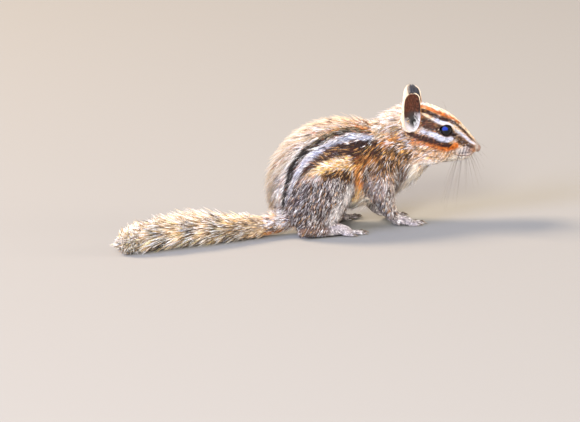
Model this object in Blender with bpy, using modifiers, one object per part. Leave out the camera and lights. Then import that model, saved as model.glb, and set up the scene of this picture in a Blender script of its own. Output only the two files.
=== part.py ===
"""A crouching western chipmunk at life size, still, divided into its named parts.

The animal faces +X and stands on the floor at z = 0. Its head is turned a little to its right,
towards -Y. Tables of stations are in millimetres and are turned to metres where they are used.
"""

import math
import random

import bmesh
import bpy
import numpy as np
from mathutils import Matrix, Vector
from mathutils.bvhtree import BVHTree

MM = 0.001

# Driving dimensions, in metres
GAP = 0.0003
EYE_RADIUS = 0.0033
EYE_OPENING_LENGTH = 0.0062
EYE_OPENING_HEIGHT = 0.0049
LID_THICKNESS = 0.0007
EAR_THICKNESS = 0.0008
HEAD_YAW = math.radians(-16)
BODY_VOXEL = 0.0010
HEAD_VOXEL = 0.0005
FOOT_VOXEL = 0.00022
BODY_TRIANGLES = 2300
HEAD_TRIANGLES = 2200
FOOT_TRIANGLES = 570
PAW_TRIANGLES = 470
SLIVER = 0.000004
ROOM = 0.4  # side of the boxes that stand for a half space

# Where the head sits: the point between the ears at floor level, below the skull
HEAD_PLACE = Vector((0.0600, -0.0040, 0.0))

# The trunk from rump to nape: x, y, z of the centre, half width, rise to the back, drop to the belly
TRUNK = [
    (-1.5, 0, 7.0, 5.6, 6.5, 4.0),
    (1.5, 0, 11.5, 11.0, 11.5, 7.5),
    (5.5, 0, 17.5, 14.8, 16.2, 11.5),
    (11.0, 0, 24.5, 16.6, 18.8, 14.0),
    (18.5, 0, 29.8, 17.0, 19.4, 20.0),
    (27.5, 0, 32.0, 16.2, 18.4, 23.6),
    (36.5, 0, 32.5, 14.6, 16.6, 21.2),
    (45.0, -0.4, 34.0, 12.8, 14.3, 19.6),
    (52.0, -1.8, 37.2, 11.3, 12.9, 17.8),
    (58.0, -3.6, 40.5, 10.7, 13.4, 16.4),
    (64.0, -5.1, 42.0, 10.0, 12.4, 15.0),
]

# The skull and snout, in the head's own frame: forward of the ears, height of the centre,
# half width, rise to the crown, drop to the lip
SKULL = [
    (-8.0, 39.6, 9.4, 12.0, 14.8),
    (-2.0, 41.0, 10.5, 13.9, 15.6),
    (3.0, 41.2, 10.9, 14.2, 15.6),
    (8.0, 40.6, 10.8, 13.8, 13.8),
    (12.0, 39.8, 10.0, 13.0, 11.8),
    (16.0, 38.6, 8.5, 11.9, 9.4),
    (20.0, 37.2, 6.6, 10.0, 7.2),
    (23.5, 35.8, 5.0, 7.5, 5.3),
    (26.5, 34.3, 3.6, 4.8, 3.4),
    (28.6, 33.3, 2.3, 2.8, 2.0),
]

# The lower jaw in the same terms
JAW = [
    (3.0, 33.0, 8.2, 4.0, 6.9),
    (9.0, 32.0, 7.4, 4.0, 5.1),
    (14.0, 31.2, 5.8, 3.0, 3.9),
    (19.0, 30.4, 4.2, 2.2, 2.8),
    (23.0, 29.8, 3.0, 1.4, 1.8),
    (25.4, 29.7, 2.0, 0.9, 1.1),
]

# Round forms of the face, in the head's frame: forward, sideways, up, then their three radii
WHISKER_PAD = ((24.0, 2.3, 33.2), (4.2, 2.7, 2.9))
CHEEK = ((8.0, 5.2, 33.8), (8.6, 5.2, 6.6))
BROW = ((14.6, 4.6, 46.0), (5.4, 2.8, 2.6))
NOSE = ((28.5, 0.0, 33.0), (1.5, 1.9, 1.8))
EYE = Vector((14.6, 5.35, 43.3)) * MM
NOSTRIL = Vector((29.6, 1.05, 33.5)) * MM

# The ear: the ends of its opening in the head's frame, how far it looks forward of sideways,
# and rows of its height share, half width and depth of the cup
EAR_BOTTOM = Vector((-0.4, 9.9, 44.0)) * MM
EAR_TOP = Vector((0.2, 10.4, 61.3)) * MM
EAR_OPENS_FORWARD = math.radians(35)
EAR_CLEARANCE = 0.005
EAR_ROWS = [
    (0.00, 0.9, 0.4),
    (0.06, 2.7, 1.9),
    (0.15, 3.9, 3.3),
    (0.28, 4.65, 4.0),
    (0.44, 4.85, 3.7),
    (0.60, 4.8, 2.9),
    (0.75, 4.4, 2.1),
    (0.87, 3.6, 1.4),
    (0.95, 2.6, 0.9),
    (1.00, 1.2, 0.4),
]

# The mouth line on one side, from the front of the lip to the corner: forward and up
MOUTH = [(25.0, 30.5), (23.2, 30.3), (21.2, 30.4), (19.4, 30.8), (17.8, 31.6)]
LIP_RADIUS = 0.00065
MOUTH_GROOVE_RADIUS = 0.0003

# The right side's limbs: centre, radii and lean of each round form, towards +X at the top
THIGH = ((12.0, -11.6, 20.8), (14.8, 9.4, 18.6), 25)
HOCK = ((9.8, -12.0, 12.4), (13.4, 7.2, 11.0), 0)
SHOULDER = ((42.0, -8.6, 29.0), (8.6, 6.4, 12.0), 8)
FOREARM = [
    (40.0, -12.0, 22.0, 6.8),
    (41.0, -12.1, 17.0, 5.9),
    (42.4, -11.7, 12.8, 4.7),
    (44.5, -10.9, 8.6, 3.3),
    (46.4, -10.4, 5.4, 2.6),
    (47.4, -10.2, 3.8, 2.4),
]
FAR_FORELEG_BACK = 3.0  # the left foreleg stands this much further back
FAR_HIND_LEG_AHEAD = 6.0  # and the left hind leg this much further ahead

# The forepaw from the wrist: ahead of it, sideways, up, half width, half thickness
PALM = [
    (-2.0, 0.0, 7.0, 2.4, 2.5),
    (0.0, 0.0, 5.0, 2.5, 2.5),
    (2.6, 0.0, 3.2, 2.7, 2.2),
    (5.4, 0.0, 2.4, 2.9, 1.9),
    (7.2, 0.0, 2.0, 2.6, 1.5),
]
WRIST = (46.6, -10.2)
FINGER_SPREAD = (-26, -8, 8, 26)
FINGER_LENGTHS = (4.6, 5.6, 5.5, 4.4)
FINGER_RADIUS = 0.85

# The hind foot from the heel in the same terms
SOLE = [
    (-1.0, 0.0, 3.6, 2.2, 2.3),
    (3.0, 0.0, 3.3, 2.5, 2.6),
    (9.0, 0.0, 3.2, 2.6, 2.8),
    (15.0, 0.0, 3.3, 2.9, 2.9),
    (18.6, 0.0, 2.9, 3.1, 2.3),
    (20.6, 0.0, 2.3, 2.9, 1.7),
]
HEEL = (2.4, -15.4)
TOE_SPREAD = (-30, -11, 0, 11, 28)
TOE_LENGTHS = (4.6, 6.6, 7.2, 6.6, 4.4)
TOE_ROOT_BACK = (2.6, 0.4, 0.0, 0.4, 2.8)
TOE_RADIUS = 0.95
FOOT_TURN_OUT = 5

# The tail: x, y, z of its axis, half width and half height of the brush, radius of its core
TAIL = [
    (-3.2, 0.0, 6.9, 4.6, 4.6, 4.4),
    (-9.0, 0.2, 5.6, 4.6, 4.4, 4.3),
    (-16.0, 0.6, 5.2, 5.2, 4.6, 4.2),
    (-22.0, 1.0, 5.4, 6.4, 5.3, 3.4),
    (-30.0, 1.4, 5.9, 8.0, 6.4, 3.1),
    (-38.0, 1.6, 6.6, 9.2, 7.4, 3.1),
    (-52.0, 1.2, 6.8, 9.8, 7.8, 3.1),
    (-64.0, 0.0, 6.4, 9.0, 7.2, 2.8),
    (-74.0, -1.4, 5.6, 6.6, 5.6, 2.1),
    (-79.5, -2.4, 4.8, 3.0, 2.9, 1.2),
]
BRUSH_PLANE = ((-15.0, 0.4, 5.2), (-1.0, 0.0, 0.0))

# The locks of the brush: rings from the first root to the last, locks in a ring, and each lock's
# run along the tail, width and thickness in millimetres, with the share each may vary
LOCK_RINGS = 9
LOCK_ROOTS = (-13.8, -69.5)
LOCKS_IN_RING = 8
LOCK_RUN = 14.5
LOCK_WIDTH = 5.4
LOCK_THICKNESS = 1.1
LOCK_VARIATION = 0.09
LOCK_SHAPE = [(0.0, 0.7), (0.36, 1.0), (0.72, 0.8), (1.0, 0.12)]

# Cutting planes between the nodes: a point of each, and the way it faces
NECK_PLANE = ((47.5, -1.0, 36.0), (0.88, -0.12, 0.46))
HEAD_PLANE = ((57.2, -3.6, 38.5), (0.853, -0.213, 0.476))

COLOURS = {
    "coat_tawny": (0.42, 0.24, 0.11),
    "coat_grey": (0.33, 0.27, 0.22),
    "coat_cream": (0.78, 0.66, 0.50),
    "skin_ear": (0.30, 0.16, 0.10),
    "eye_wet": (0.01, 0.008, 0.008),
    "foot_buff": (0.55, 0.43, 0.33),
}


def clear_scene():
    for thing in list(bpy.data.objects):
        bpy.data.objects.remove(thing, do_unlink=True)


def material(name, roughness):
    made = bpy.data.materials.get(name) or bpy.data.materials.new(name)
    made.use_nodes = True
    shader = made.node_tree.nodes["Principled BSDF"]
    shader.inputs["Base Color"].default_value = (*COLOURS[name], 1)
    shader.inputs["Roughness"].default_value = roughness
    shader.inputs["Metallic"].default_value = 0
    return made


def new_object(name, mesh, collection):
    thing = bpy.data.objects.new(name, mesh)
    collection.objects.link(thing)
    return thing


def from_bmesh(name, form, collection):
    """An object of the bmesh, triangulated, with its faces turned outwards."""
    form.normal_update()
    bmesh.ops.recalc_face_normals(form, faces=form.faces)
    form.normal_update()
    bmesh.ops.triangulate(form, faces=form.faces)
    mesh = bpy.data.meshes.new(name)
    form.to_mesh(mesh)
    form.free()
    return new_object(name, mesh, collection)


def smooth_rows(rows, steps):
    """The rows of a table with more rows read between them on a Catmull-Rom curve."""
    table = np.array(rows, float)
    padded = np.vstack([2 * table[0] - table[1], table, 2 * table[-1] - table[-2]])
    made = []
    for i in range(1, len(padded) - 2):
        a, b, c, d = padded[i - 1 : i + 3]
        for step in range(steps):
            t = step / steps
            made.append(
                0.5 * (2 * b + (c - a) * t + (2 * a - 5 * b + 4 * c - d) * t * t
                       + (3 * b - a - 3 * c + d) * t**3)
            )
    made.append(table[-1])
    return made


def loft(name, stations, collection, sides=32, cap_rings=3):
    """A closed skin over oval sections. A station is its centre, the way to its side, the way up,
    half width, rise and drop. Each end is rounded off by shrinking rings."""
    rings = []
    first, last = stations[0], stations[-1]
    for station, beyond in ((first, stations[1]), (last, stations[-2])):
        outward = (station[0] - beyond[0]).normalized()
        reach = min(station[3], station[4], station[5])
        caps = []
        for k in range(1, cap_rings + 1):
            turn = math.pi / 2 * k / (cap_rings + 0.35)
            shrink = math.cos(turn)
            centre = station[0] + outward * reach * math.sin(turn) * 0.8
            caps.append((centre, *station[1:3], *(size * shrink for size in station[3:6])))
        rings.append(caps)
    sections = rings[0][::-1] + list(stations) + rings[1]
    form = bmesh.new()
    loops = []
    for centre, side, up, half_width, rise, drop in sections:
        loop = []
        for k in range(sides):
            angle = 2 * math.pi * k / sides
            height = rise if math.sin(angle) > 0 else drop
            loop.append(
                form.verts.new(
                    centre + side * half_width * math.cos(angle) + up * height * math.sin(angle)
                )
            )
        loops.append(loop)
    for low, high in zip(loops, loops[1:]):
        for k in range(sides):
            n = (k + 1) % sides
            form.faces.new((low[k], low[n], high[n], high[k]))
    form.faces.new(loops[0])
    form.faces.new(loops[-1][::-1])
    return from_bmesh(name, form, collection)


def along_route(rows, steps=3, grow=0.0, upward=Vector((0, 0, 1))):
    """Stations of a loft from rows of x, y, z, half width, rise, drop in millimetres."""
    rows = smooth_rows(rows, steps)
    centres = [Vector(row[:3]) * MM for row in rows]
    stations = []
    for i, (centre, row) in enumerate(zip(centres, rows)):
        ahead = (centres[min(i + 1, len(rows) - 1)] - centres[max(i - 1, 0)]).normalized()
        side = ahead.cross(upward).normalized()
        up = side.cross(ahead)
        sizes = [max(size, 0.05) * MM + grow for size in row[3:6]]
        stations.append((centre, side, up, *sizes))
    return stations


def tube_stations(rows, steps=3, grow=0.0, upward=Vector((0, 0, 1))):
    """The same for round rows of x, y, z, radius."""
    return along_route([(*row[:3], row[3], row[3], row[3]) for row in rows], steps, grow, upward)


def ellipsoid(name, centre, radii, lean_degrees, collection, segments=24):
    """A ball scaled to its radii, leaning towards +X at the top."""
    form = bmesh.new()
    bmesh.ops.create_uvsphere(form, u_segments=segments, v_segments=segments // 2, radius=1)
    size = Matrix.Diagonal((*(r * MM for r in radii), 1))
    turn = Matrix.Rotation(math.radians(lean_degrees), 4, "Y")
    form.transform(Matrix.Translation(Vector(centre) * MM) @ turn @ size)
    return from_bmesh(name, form, collection)


def head_matrix():
    return Matrix.Translation(HEAD_PLACE) @ Matrix.Rotation(HEAD_YAW, 4, "Z")


def head_point(forward, sideways, up):
    """A point given forward of the ears, to the animal's left, and up, in metres."""
    return head_matrix() @ Vector((forward, sideways, up))


def head_stations(rows, steps=3):
    turn = head_matrix().to_3x3()
    side, up = turn @ Vector((0, -1, 0)), Vector((0, 0, 1))
    stations = []
    for forward, height, half_width, rise, drop in smooth_rows(rows, steps):
        centre = head_point(forward * MM, 0, height * MM)
        stations.append((centre, side, up, half_width * MM, rise * MM, drop * MM))
    return stations


def head_ball(name, form, side, collection):
    """A round form of the face on one side, turned with the head."""
    (forward, sideways, up), radii = form
    ball = ellipsoid(name, (forward, sideways * side, up), radii, 0, collection)
    ball.data.transform(head_matrix())
    return ball


def evaluated_mesh(thing):
    """The object's mesh with its modifiers applied."""
    graph = bpy.context.evaluated_depsgraph_get()
    return bpy.data.meshes.new_from_object(thing.evaluated_get(graph))


def evaluated(thing):
    """The object with its modifiers applied and cleared."""
    mesh = evaluated_mesh(thing)
    thing.modifiers.clear()
    thing.data = mesh
    return thing


def is_closed(mesh):
    """Whether every edge has exactly two faces."""
    counts = {}
    for face in mesh.polygons:
        for key in face.edge_keys:
            counts[key] = counts.get(key, 0) + 1
    return all(count == 2 for count in counts.values())


def fused(name, pieces, voxel, smoothing, triangles, collection):
    """The pieces grown together into one soft skin, then thinned to the number of triangles."""
    form = bmesh.new()
    for piece in pieces:
        form.from_mesh(piece.data)
    mesh = bpy.data.meshes.new(name)
    form.to_mesh(mesh)
    form.free()
    body = new_object(name, mesh, collection)
    remesh = body.modifiers.new("grow_together", "REMESH")
    remesh.mode = "VOXEL"
    remesh.voxel_size = voxel
    soften = body.modifiers.new("soften", "SMOOTH")
    soften.factor = 0.5
    soften.iterations = smoothing
    evaluated(body)
    thin = body.modifiers.new("thin", "DECIMATE")
    thin.ratio = triangles / (2 * len(body.data.polygons))
    thin.use_collapse_triangulate = True
    return evaluated(body)


def boolean(thing, other, operation):
    """The object cut by or joined with the other, or with every object of a collection."""
    cut = thing.modifiers.new(operation.lower(), "BOOLEAN")
    cut.operation = operation
    if isinstance(other, bpy.types.Collection):
        cut.operand_type = "COLLECTION"
        cut.collection = other
    else:
        cut.object = other
    for solver in ("EXACT", "MANIFOLD"):
        cut.solver = solver
        mesh = evaluated_mesh(thing)
        if is_closed(mesh):
            break
    thing.modifiers.clear()
    thing.data = mesh
    return thing


def keep_largest(thing):
    """Only the largest closed surface stays, and slivers left by cutting are melted."""
    form = bmesh.new()
    form.from_mesh(thing.data)
    unseen, groups = set(form.verts), []
    while unseen:
        group, front = set(), [unseen.pop()]
        while front:
            vert = front.pop()
            group.add(vert)
            for edge in vert.link_edges:
                other = edge.other_vert(vert)
                if other in unseen:
                    unseen.remove(other)
                    front.append(other)
        groups.append(group)
    groups.sort(key=len)
    bmesh.ops.delete(form, geom=[v for group in groups[:-1] for v in group], context="VERTS")
    bmesh.ops.triangulate(form, faces=form.faces)
    form.to_mesh(thing.data)
    bmesh.ops.dissolve_degenerate(form, edges=form.edges, dist=SLIVER)
    bmesh.ops.triangulate(form, faces=form.faces)
    melted = bpy.data.meshes.new(thing.name)
    form.to_mesh(melted)
    form.free()
    if is_closed(melted):
        thing.data = melted
    return thing


def copy_of(name, thing, collection):
    return new_object(name, thing.data.copy(), collection)


def half_space(name, plane, back, collection):
    """A big box that fills the side a plane faces, starting this far behind the plane."""
    point, facing = Vector(plane[0]) * MM, Vector(plane[1]).normalized()
    form = bmesh.new()
    bmesh.ops.create_cube(form, size=ROOM)
    turn = facing.to_track_quat("X", "Z").to_matrix().to_4x4()
    place = point + facing * (ROOM / 2 - back)
    form.transform(Matrix.Translation(place) @ turn)
    return from_bmesh(name, form, collection)


def round_box(name, low, high, radius, grow, collection):
    """A box between two corners in millimetres with well rounded edges."""
    form = bmesh.new()
    bmesh.ops.create_cube(form, size=1)
    low, high = Vector(low) * MM, Vector(high) * MM
    size = high - low + Vector((1, 1, 1)) * 2 * grow
    form.transform(Matrix.Translation((low + high) / 2) @ Matrix.Diagonal((*size, 1)))
    bmesh.ops.bevel(
        form, geom=form.edges[:], offset=radius * MM + grow, segments=4, profile=0.5,
        affect="EDGES",
    )
    return from_bmesh(name, form, collection)


def split(name, body, region, cutter, parts):
    """The part of the body in the region, and the body without the slightly larger cutter."""
    taken = copy_of(name, body, parts)
    boolean(taken, region, "INTERSECT")
    keep_largest(taken)
    boolean(body, cutter, "DIFFERENCE")
    return taken


def mirrored(rows, shift=0.0):
    """The same rows on the left side, moved along x by the shift."""
    return [(row[0] + shift, -row[1], *row[2:]) for row in rows]


def mirrored_form(form, shift):
    (x, y, z), radii, lean = form
    return (x + shift, -y, z), radii, lean


def floor_cutter(work):
    return half_space("floor", ((0, 0, 0), (0, 0, -1)), 0, work)


def grown(name, thing, amount, work):
    """A copy of the object, swollen along its normals, that cuts a neighbour clear of it."""
    swollen = copy_of(name, thing, work)
    form = bmesh.new()
    form.from_mesh(swollen.data)
    form.normal_update()
    for vert in form.verts:
        vert.co += vert.normal * amount * vert.calc_shell_factor()
    form.to_mesh(swollen.data)
    form.free()
    return swollen


def trunk_pieces(work):
    pieces = [
        loft("trunk", along_route(TRUNK, steps=4), work),
        loft("skull", head_stations(SKULL, steps=4), work),
    ]
    for side, sign in (("right", 1), ("left", -1)):
        for name, form, shift in (
            ("thigh", THIGH, FAR_HIND_LEG_AHEAD),
            ("hock", HOCK, FAR_HIND_LEG_AHEAD),
            ("shoulder", SHOULDER, -FAR_FORELEG_BACK / 2),
        ):
            centre, radii, lean = form if sign > 0 else mirrored_form(form, shift)
            pieces.append(ellipsoid(f"{name}_{side}_form", centre, radii, lean, work))
        rows = FOREARM if sign > 0 else mirrored(FOREARM, -FAR_FORELEG_BACK)
        forward = Vector((1, 0, 0))
        pieces.append(loft(f"forearm_{side}_form", tube_stations(rows, upward=forward), work, 20))
    return pieces


def face_pieces(work):
    pieces = [
        loft("skull_fine", head_stations(SKULL, steps=5), work, 48),
        loft("jaw", head_stations(JAW, steps=4), work, 32),
        loft("nape", along_route(TRUNK[-5:], steps=4), work, 40),
        head_ball("nose_form", NOSE, 1, work),
    ]
    for side in (1, -1):
        for name, form in (("pad", WHISKER_PAD), ("cheek", CHEEK), ("brow", BROW)):
            pieces.append(head_ball(f"{name}_{side}", form, side, work))
        centre = head_point(EYE.x, EYE.y * side, EYE.z)
        lids = EYE_RADIUS + GAP + LID_THICKNESS
        pieces.append(ball(f"lids_{side}", centre, lids, work))
    return pieces


def surface_point(tree, forward, sideways_from, up):
    """Where a line from the side, level and square to the head, first meets the skin."""
    start = head_point(forward, sideways_from, up)
    inward = head_point(forward, 0, up) - start
    hit = tree.ray_cast(start, inward.normalized())[0]
    return hit or head_point(forward, 0, up)


def mouth_route(head):
    """The mouth line on the skin, from the left corner round the front to the right corner."""
    form = bmesh.new()
    form.from_mesh(head.data)
    tree = BVHTree.FromBMesh(form)
    form.free()
    reach = 20 * MM
    left = [surface_point(tree, t * MM, reach, z * MM) for t, z in reversed(MOUTH)]
    right = [surface_point(tree, t * MM, -reach, z * MM) for t, z in MOUTH]
    t, z = MOUTH[0]
    start = head_point(t * MM + reach, 0, z * MM)
    back = head_point(0, 0, z * MM) - start
    front = tree.ray_cast(start, back.normalized())[0]
    return [*left, front, *right]


def mouth_tube(name, route, radius, work):
    """A thin tube along the mouth line, finest at its corners."""
    last = len(route) - 1
    taper = [0.5 + 0.5 * min(1, 3 * min(k, last - k) / last) for k in range(last + 1)]
    rows = [(*(point / MM), radius / MM * share) for point, share in zip(route, taper)]
    return loft(name, tube_stations(rows, steps=2), work, sides=6, cap_rings=1)


def eye_opening(name, side, work):
    """An almond prism that cuts the gap between the lids, its front corner a little lower."""
    corners = 16
    form = bmesh.new()
    ring = []
    for k in range(corners):
        angle = 2 * math.pi * k / corners
        pinch = 1 - 0.18 * abs(math.cos(angle)) ** 3
        along = EYE_OPENING_LENGTH / 2 * math.cos(angle)
        across = EYE_OPENING_HEIGHT / 2 * math.sin(angle) * pinch
        ring.append(form.verts.new((along, EYE_RADIUS * 0.35, across)))
    face = form.faces.new(ring)
    made = bmesh.ops.extrude_face_region(form, geom=[face])
    outward = [v for v in made["geom"] if isinstance(v, bmesh.types.BMVert)]
    bmesh.ops.translate(form, verts=outward, vec=(0, 3 * EYE_RADIUS, 0))
    tilt = Matrix.Rotation(math.radians(16), 4, "Y")
    turn = Matrix.Rotation(math.radians(-14), 4, "Z")
    flip = Matrix.Diagonal((1, side, 1, 1))
    place = Matrix.Translation(Vector((EYE.x, EYE.y * side, EYE.z)))
    form.transform(head_matrix() @ place @ flip @ turn @ tilt)
    return from_bmesh(name, form, work)


def ball(name, centre, radius, collection, subdivisions=3):
    form = bmesh.new()
    bmesh.ops.create_icosphere(form, subdivisions=subdivisions, radius=radius)
    form.transform(Matrix.Translation(centre))
    return from_bmesh(name, form, collection)


def nostril(name, side, work):
    """A slanted hollow beside the tip of the nose."""
    tip = head_point(NOSTRIL.x, NOSTRIL.y * side, NOSTRIL.z)
    deep = head_point(NOSTRIL.x - 2.0 * MM, NOSTRIL.y * side * 0.7, NOSTRIL.z - 0.4 * MM)
    rows = [(*(tip / MM), 0.55), (*((tip + deep) / 2 / MM), 0.5), (*(deep / MM), 0.35)]
    return loft(name, tube_stations(rows, steps=1), work, sides=8, cap_rings=1)


def build_head(parts, work):
    head = fused("head", face_pieces(work), HEAD_VOXEL, 5, HEAD_TRIANGLES, parts)
    route = mouth_route(head)
    boolean(head, mouth_tube("lips", route, LIP_RADIUS, work), "UNION")
    hollows = bpy.data.collections.new("head_hollows")
    bpy.context.scene.collection.children.link(hollows)
    mouth_tube("mouth_groove", route, MOUTH_GROOVE_RADIUS, hollows)
    for side in (1, -1):
        centre = head_point(EYE.x, EYE.y * side, EYE.z)
        ball(f"socket_{side}", centre, EYE_RADIUS + GAP, hollows)
        eye_opening(f"opening_{side}", side, hollows)
        nostril(f"nostril_{side}", side, hollows)
        ear_pocket(f"ear_pocket_{side}", side, hollows, work)
    boolean(head, hollows, "DIFFERENCE")
    boolean(head, half_space("before_neck", HEAD_PLANE, 0, work), "INTERSECT")
    for thing in list(hollows.objects):
        bpy.data.objects.remove(thing)
    bpy.data.collections.remove(hollows)
    return keep_largest(head)


def build_eye(name, side, parts):
    return ball(name, head_point(EYE.x, EYE.y * side, EYE.z), EYE_RADIUS, parts, 3)


def ear_axes(side):
    """The ways an ear opens and spreads, in the head's frame."""
    opening = Vector((math.sin(EAR_OPENS_FORWARD), math.cos(EAR_OPENS_FORWARD) * side, 0))
    return opening, Vector((0, 0, 1)).cross(opening)


def ear_places(side, columns=8):
    """Rows of points over the bowl of an ear, from one edge of its opening to the other."""
    opening, across = ear_axes(side)
    bottom = Vector((EAR_BOTTOM.x, EAR_BOTTOM.y * side, EAR_BOTTOM.z))
    top = Vector((EAR_TOP.x, EAR_TOP.y * side, EAR_TOP.z))
    rows = []
    for share, half_width, depth in EAR_ROWS:
        middle = bottom.lerp(top, share)
        row = []
        for k in range(columns + 1):
            angle = math.pi * (k / columns - 0.5)
            wide = across * half_width * MM * math.sin(angle)
            row.append(middle + wide - opening * depth * MM * math.cos(angle))
        rows.append(row)
    return rows


def ear_pocket(name, side, hollows, work):
    """The room an ear takes in the head, open on the side it looks to."""
    opening = ear_axes(side)[0]
    form = bmesh.new()
    for row in ear_places(side):
        middle = row[len(row) // 2]
        for place in row:
            form.verts.new(place)
        for place in (row[0], row[-1]):
            form.verts.new(place + opening * EAR_CLEARANCE + (place - middle) * 0.1)
    hull = bmesh.ops.convex_hull(form, input=form.verts)
    loose = [item for item in hull["geom_interior"] if isinstance(item, bmesh.types.BMVert)]
    bmesh.ops.delete(form, geom=loose, context="VERTS")
    form.transform(head_matrix())
    pocket = from_bmesh(name, form, work)
    return grown(f"{name}_room", pocket, EAR_THICKNESS / 2 + GAP, hollows)


def build_ear(name, side, parts):
    """A cupped shell that opens outwards and forwards."""
    form = bmesh.new()
    grid = [[form.verts.new(place) for place in row] for row in ear_places(side)]
    for low, high in zip(grid, grid[1:]):
        for k in range(len(low) - 1):
            form.faces.new((low[k], low[k + 1], high[k + 1], high[k]))
    form.transform(head_matrix())
    mesh = bpy.data.meshes.new(name)
    form.to_mesh(mesh)
    form.free()
    ear = new_object(name, mesh, parts)
    thick = ear.modifiers.new("thickness", "SOLIDIFY")
    thick.thickness = EAR_THICKNESS
    thick.offset = 0
    thick.use_even_offset = True
    evaluated(ear)
    return keep_largest(ear)


def digit_rows(root, heading_degrees, length, radius):
    """Rows of a toe that arches from its knuckle down to the floor."""
    turn = math.radians(heading_degrees)
    ahead = Vector((math.cos(turn), math.sin(turn), 0))
    rows = []
    for share, lift, thick in ((0, 0.35, 1.1), (0.35, 0.45, 1.0), (0.7, 0.2, 0.95), (1, 0.0, 0.8)):
        place = root + ahead * length * share
        rows.append((place.x, place.y, radius * (0.92 + lift), radius * thick))
    return rows, ahead


def claw_rows(toe_end, ahead, radius):
    """A claw that leaves the toe's tip and hooks down to the floor."""
    rows = []
    for out, fall, thick in ((-0.5, 0.35, 0.5), (0.6, 0.4, 0.42), (1.5, -0.1, 0.26), (2.1, -0.75, 0.1)):
        place = Vector(toe_end[:3]) + ahead * out
        rows.append((place.x, place.y, max(place.z + fall, 0.18), radius * thick))
    return rows


def build_foot(name, anchor, heading, rows, digits, radius, triangles, parts, work):
    """A foot of a flattened sole with toes and claws grown together."""
    turn = Matrix.Rotation(math.radians(heading), 3, "Z")
    base = Vector((*anchor, 0))
    placed = []
    for ahead, aside, up, half_width, half_thick in rows:
        place = base + turn @ Vector((ahead, aside, 0))
        placed.append((place.x, place.y, up, half_width, half_thick, half_thick))
    pieces = [loft(f"{name}_sole", along_route(placed, steps=3), work, sides=20)]
    for k, (spread, length, aside, back) in enumerate(digits):
        root = base + turn @ Vector((rows[-1][0] - back, aside, 0))
        toe, ahead = digit_rows(root, heading + spread, length, radius)
        pieces.append(loft(f"{name}_toe_{k}", tube_stations(toe, 3), work, sides=16))
        claw = claw_rows(toe[-1], ahead, radius)
        pieces.append(loft(f"{name}_claw_{k}", tube_stations(claw, 3), work, sides=12))
    return fused(name, pieces, FOOT_VOXEL, 2, triangles, parts)


def digits_of(spreads, lengths, backs, half_width):
    """Each toe's spread, length, sideways place and how far back its root lies."""
    count = len(spreads)
    digits = []
    for k in range(count):
        aside = half_width * (2 * k / (count - 1) - 1) * 0.86
        digits.append((spreads[k], lengths[k], aside, backs[k]))
    return digits


def build_forepaw(side, shift, parts, work):
    backs = (0.9, 0.0, 0.0, 0.9)
    digits = digits_of(FINGER_SPREAD, FINGER_LENGTHS, backs, PALM[-1][3])
    sign = -1 if side == "right" else 1
    anchor = (WRIST[0] + shift, -WRIST[1] * sign)
    name = f"forepaw_{side}"
    return build_foot(name, anchor, 4 * sign, PALM, digits, FINGER_RADIUS, PAW_TRIANGLES, parts, work)


def build_hind_foot(side, shift, parts, work):
    digits = digits_of(TOE_SPREAD, TOE_LENGTHS, TOE_ROOT_BACK, SOLE[-1][3])
    sign = -1 if side == "right" else 1
    anchor = (HEEL[0] + shift, -HEEL[1] * sign)
    name = f"hind_foot_{side}"
    turn = FOOT_TURN_OUT * sign
    return build_foot(name, anchor, turn, SOLE, digits, TOE_RADIUS, FOOT_TRIANGLES, parts, work)


def tail_form(name, collection, sides=18):
    """The whole tail as one smooth form out to the tips of its hair."""
    rows = [(x, y, z, width, height, min(height, z + 0.6)) for x, y, z, width, height, _ in TAIL]
    return loft(name, along_route(rows, steps=2), collection, sides=sides)


def tail_at(x):
    """The tail's axis, half width, half height and core radius at a place along it."""
    table = np.array(TAIL[::-1])
    return [float(np.interp(x, table[:, 0], table[:, k])) for k in range(1, 6)]


def tail_lock(name, x_root, angle, run, reach, width, collection):
    """A flat lock that leaves the core, bends back and ends at the edge of the brush. The angle
    runs round the tail from its left side over the top."""
    stations = []
    points, outs = [], []
    for share, _ in LOCK_SHAPE:
        x = x_root - run * share
        y, z, half_width, half_height, core = tail_at(x)
        low = min(half_height, z) if math.sin(angle) < 0 else half_height
        edge = 1 / math.hypot(math.cos(angle) / half_width, math.sin(angle) / low)
        tip_edge = edge * reach
        rooted = core * 0.45
        distance = rooted + (tip_edge - rooted) * (1 - (1 - share) ** 1.8)
        out = Vector((0, math.cos(angle), math.sin(angle)))
        points.append(Vector((x, y, z)) * MM + out * distance * MM)
        outs.append(out)
    for k, (share, wide) in enumerate(LOCK_SHAPE):
        ahead = (points[min(k + 1, len(points) - 1)] - points[max(k - 1, 0)]).normalized()
        side = ahead.cross(outs[k]).normalized()
        up = side.cross(ahead)
        thick = LOCK_THICKNESS / 2 * MM * max(0.2, 1 - 0.5 * share**2)
        stations.append((points[k], side, up, width / 2 * MM * wide, thick, thick))
    return loft(name, stations, collection, sides=4, cap_rings=0)


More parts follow.
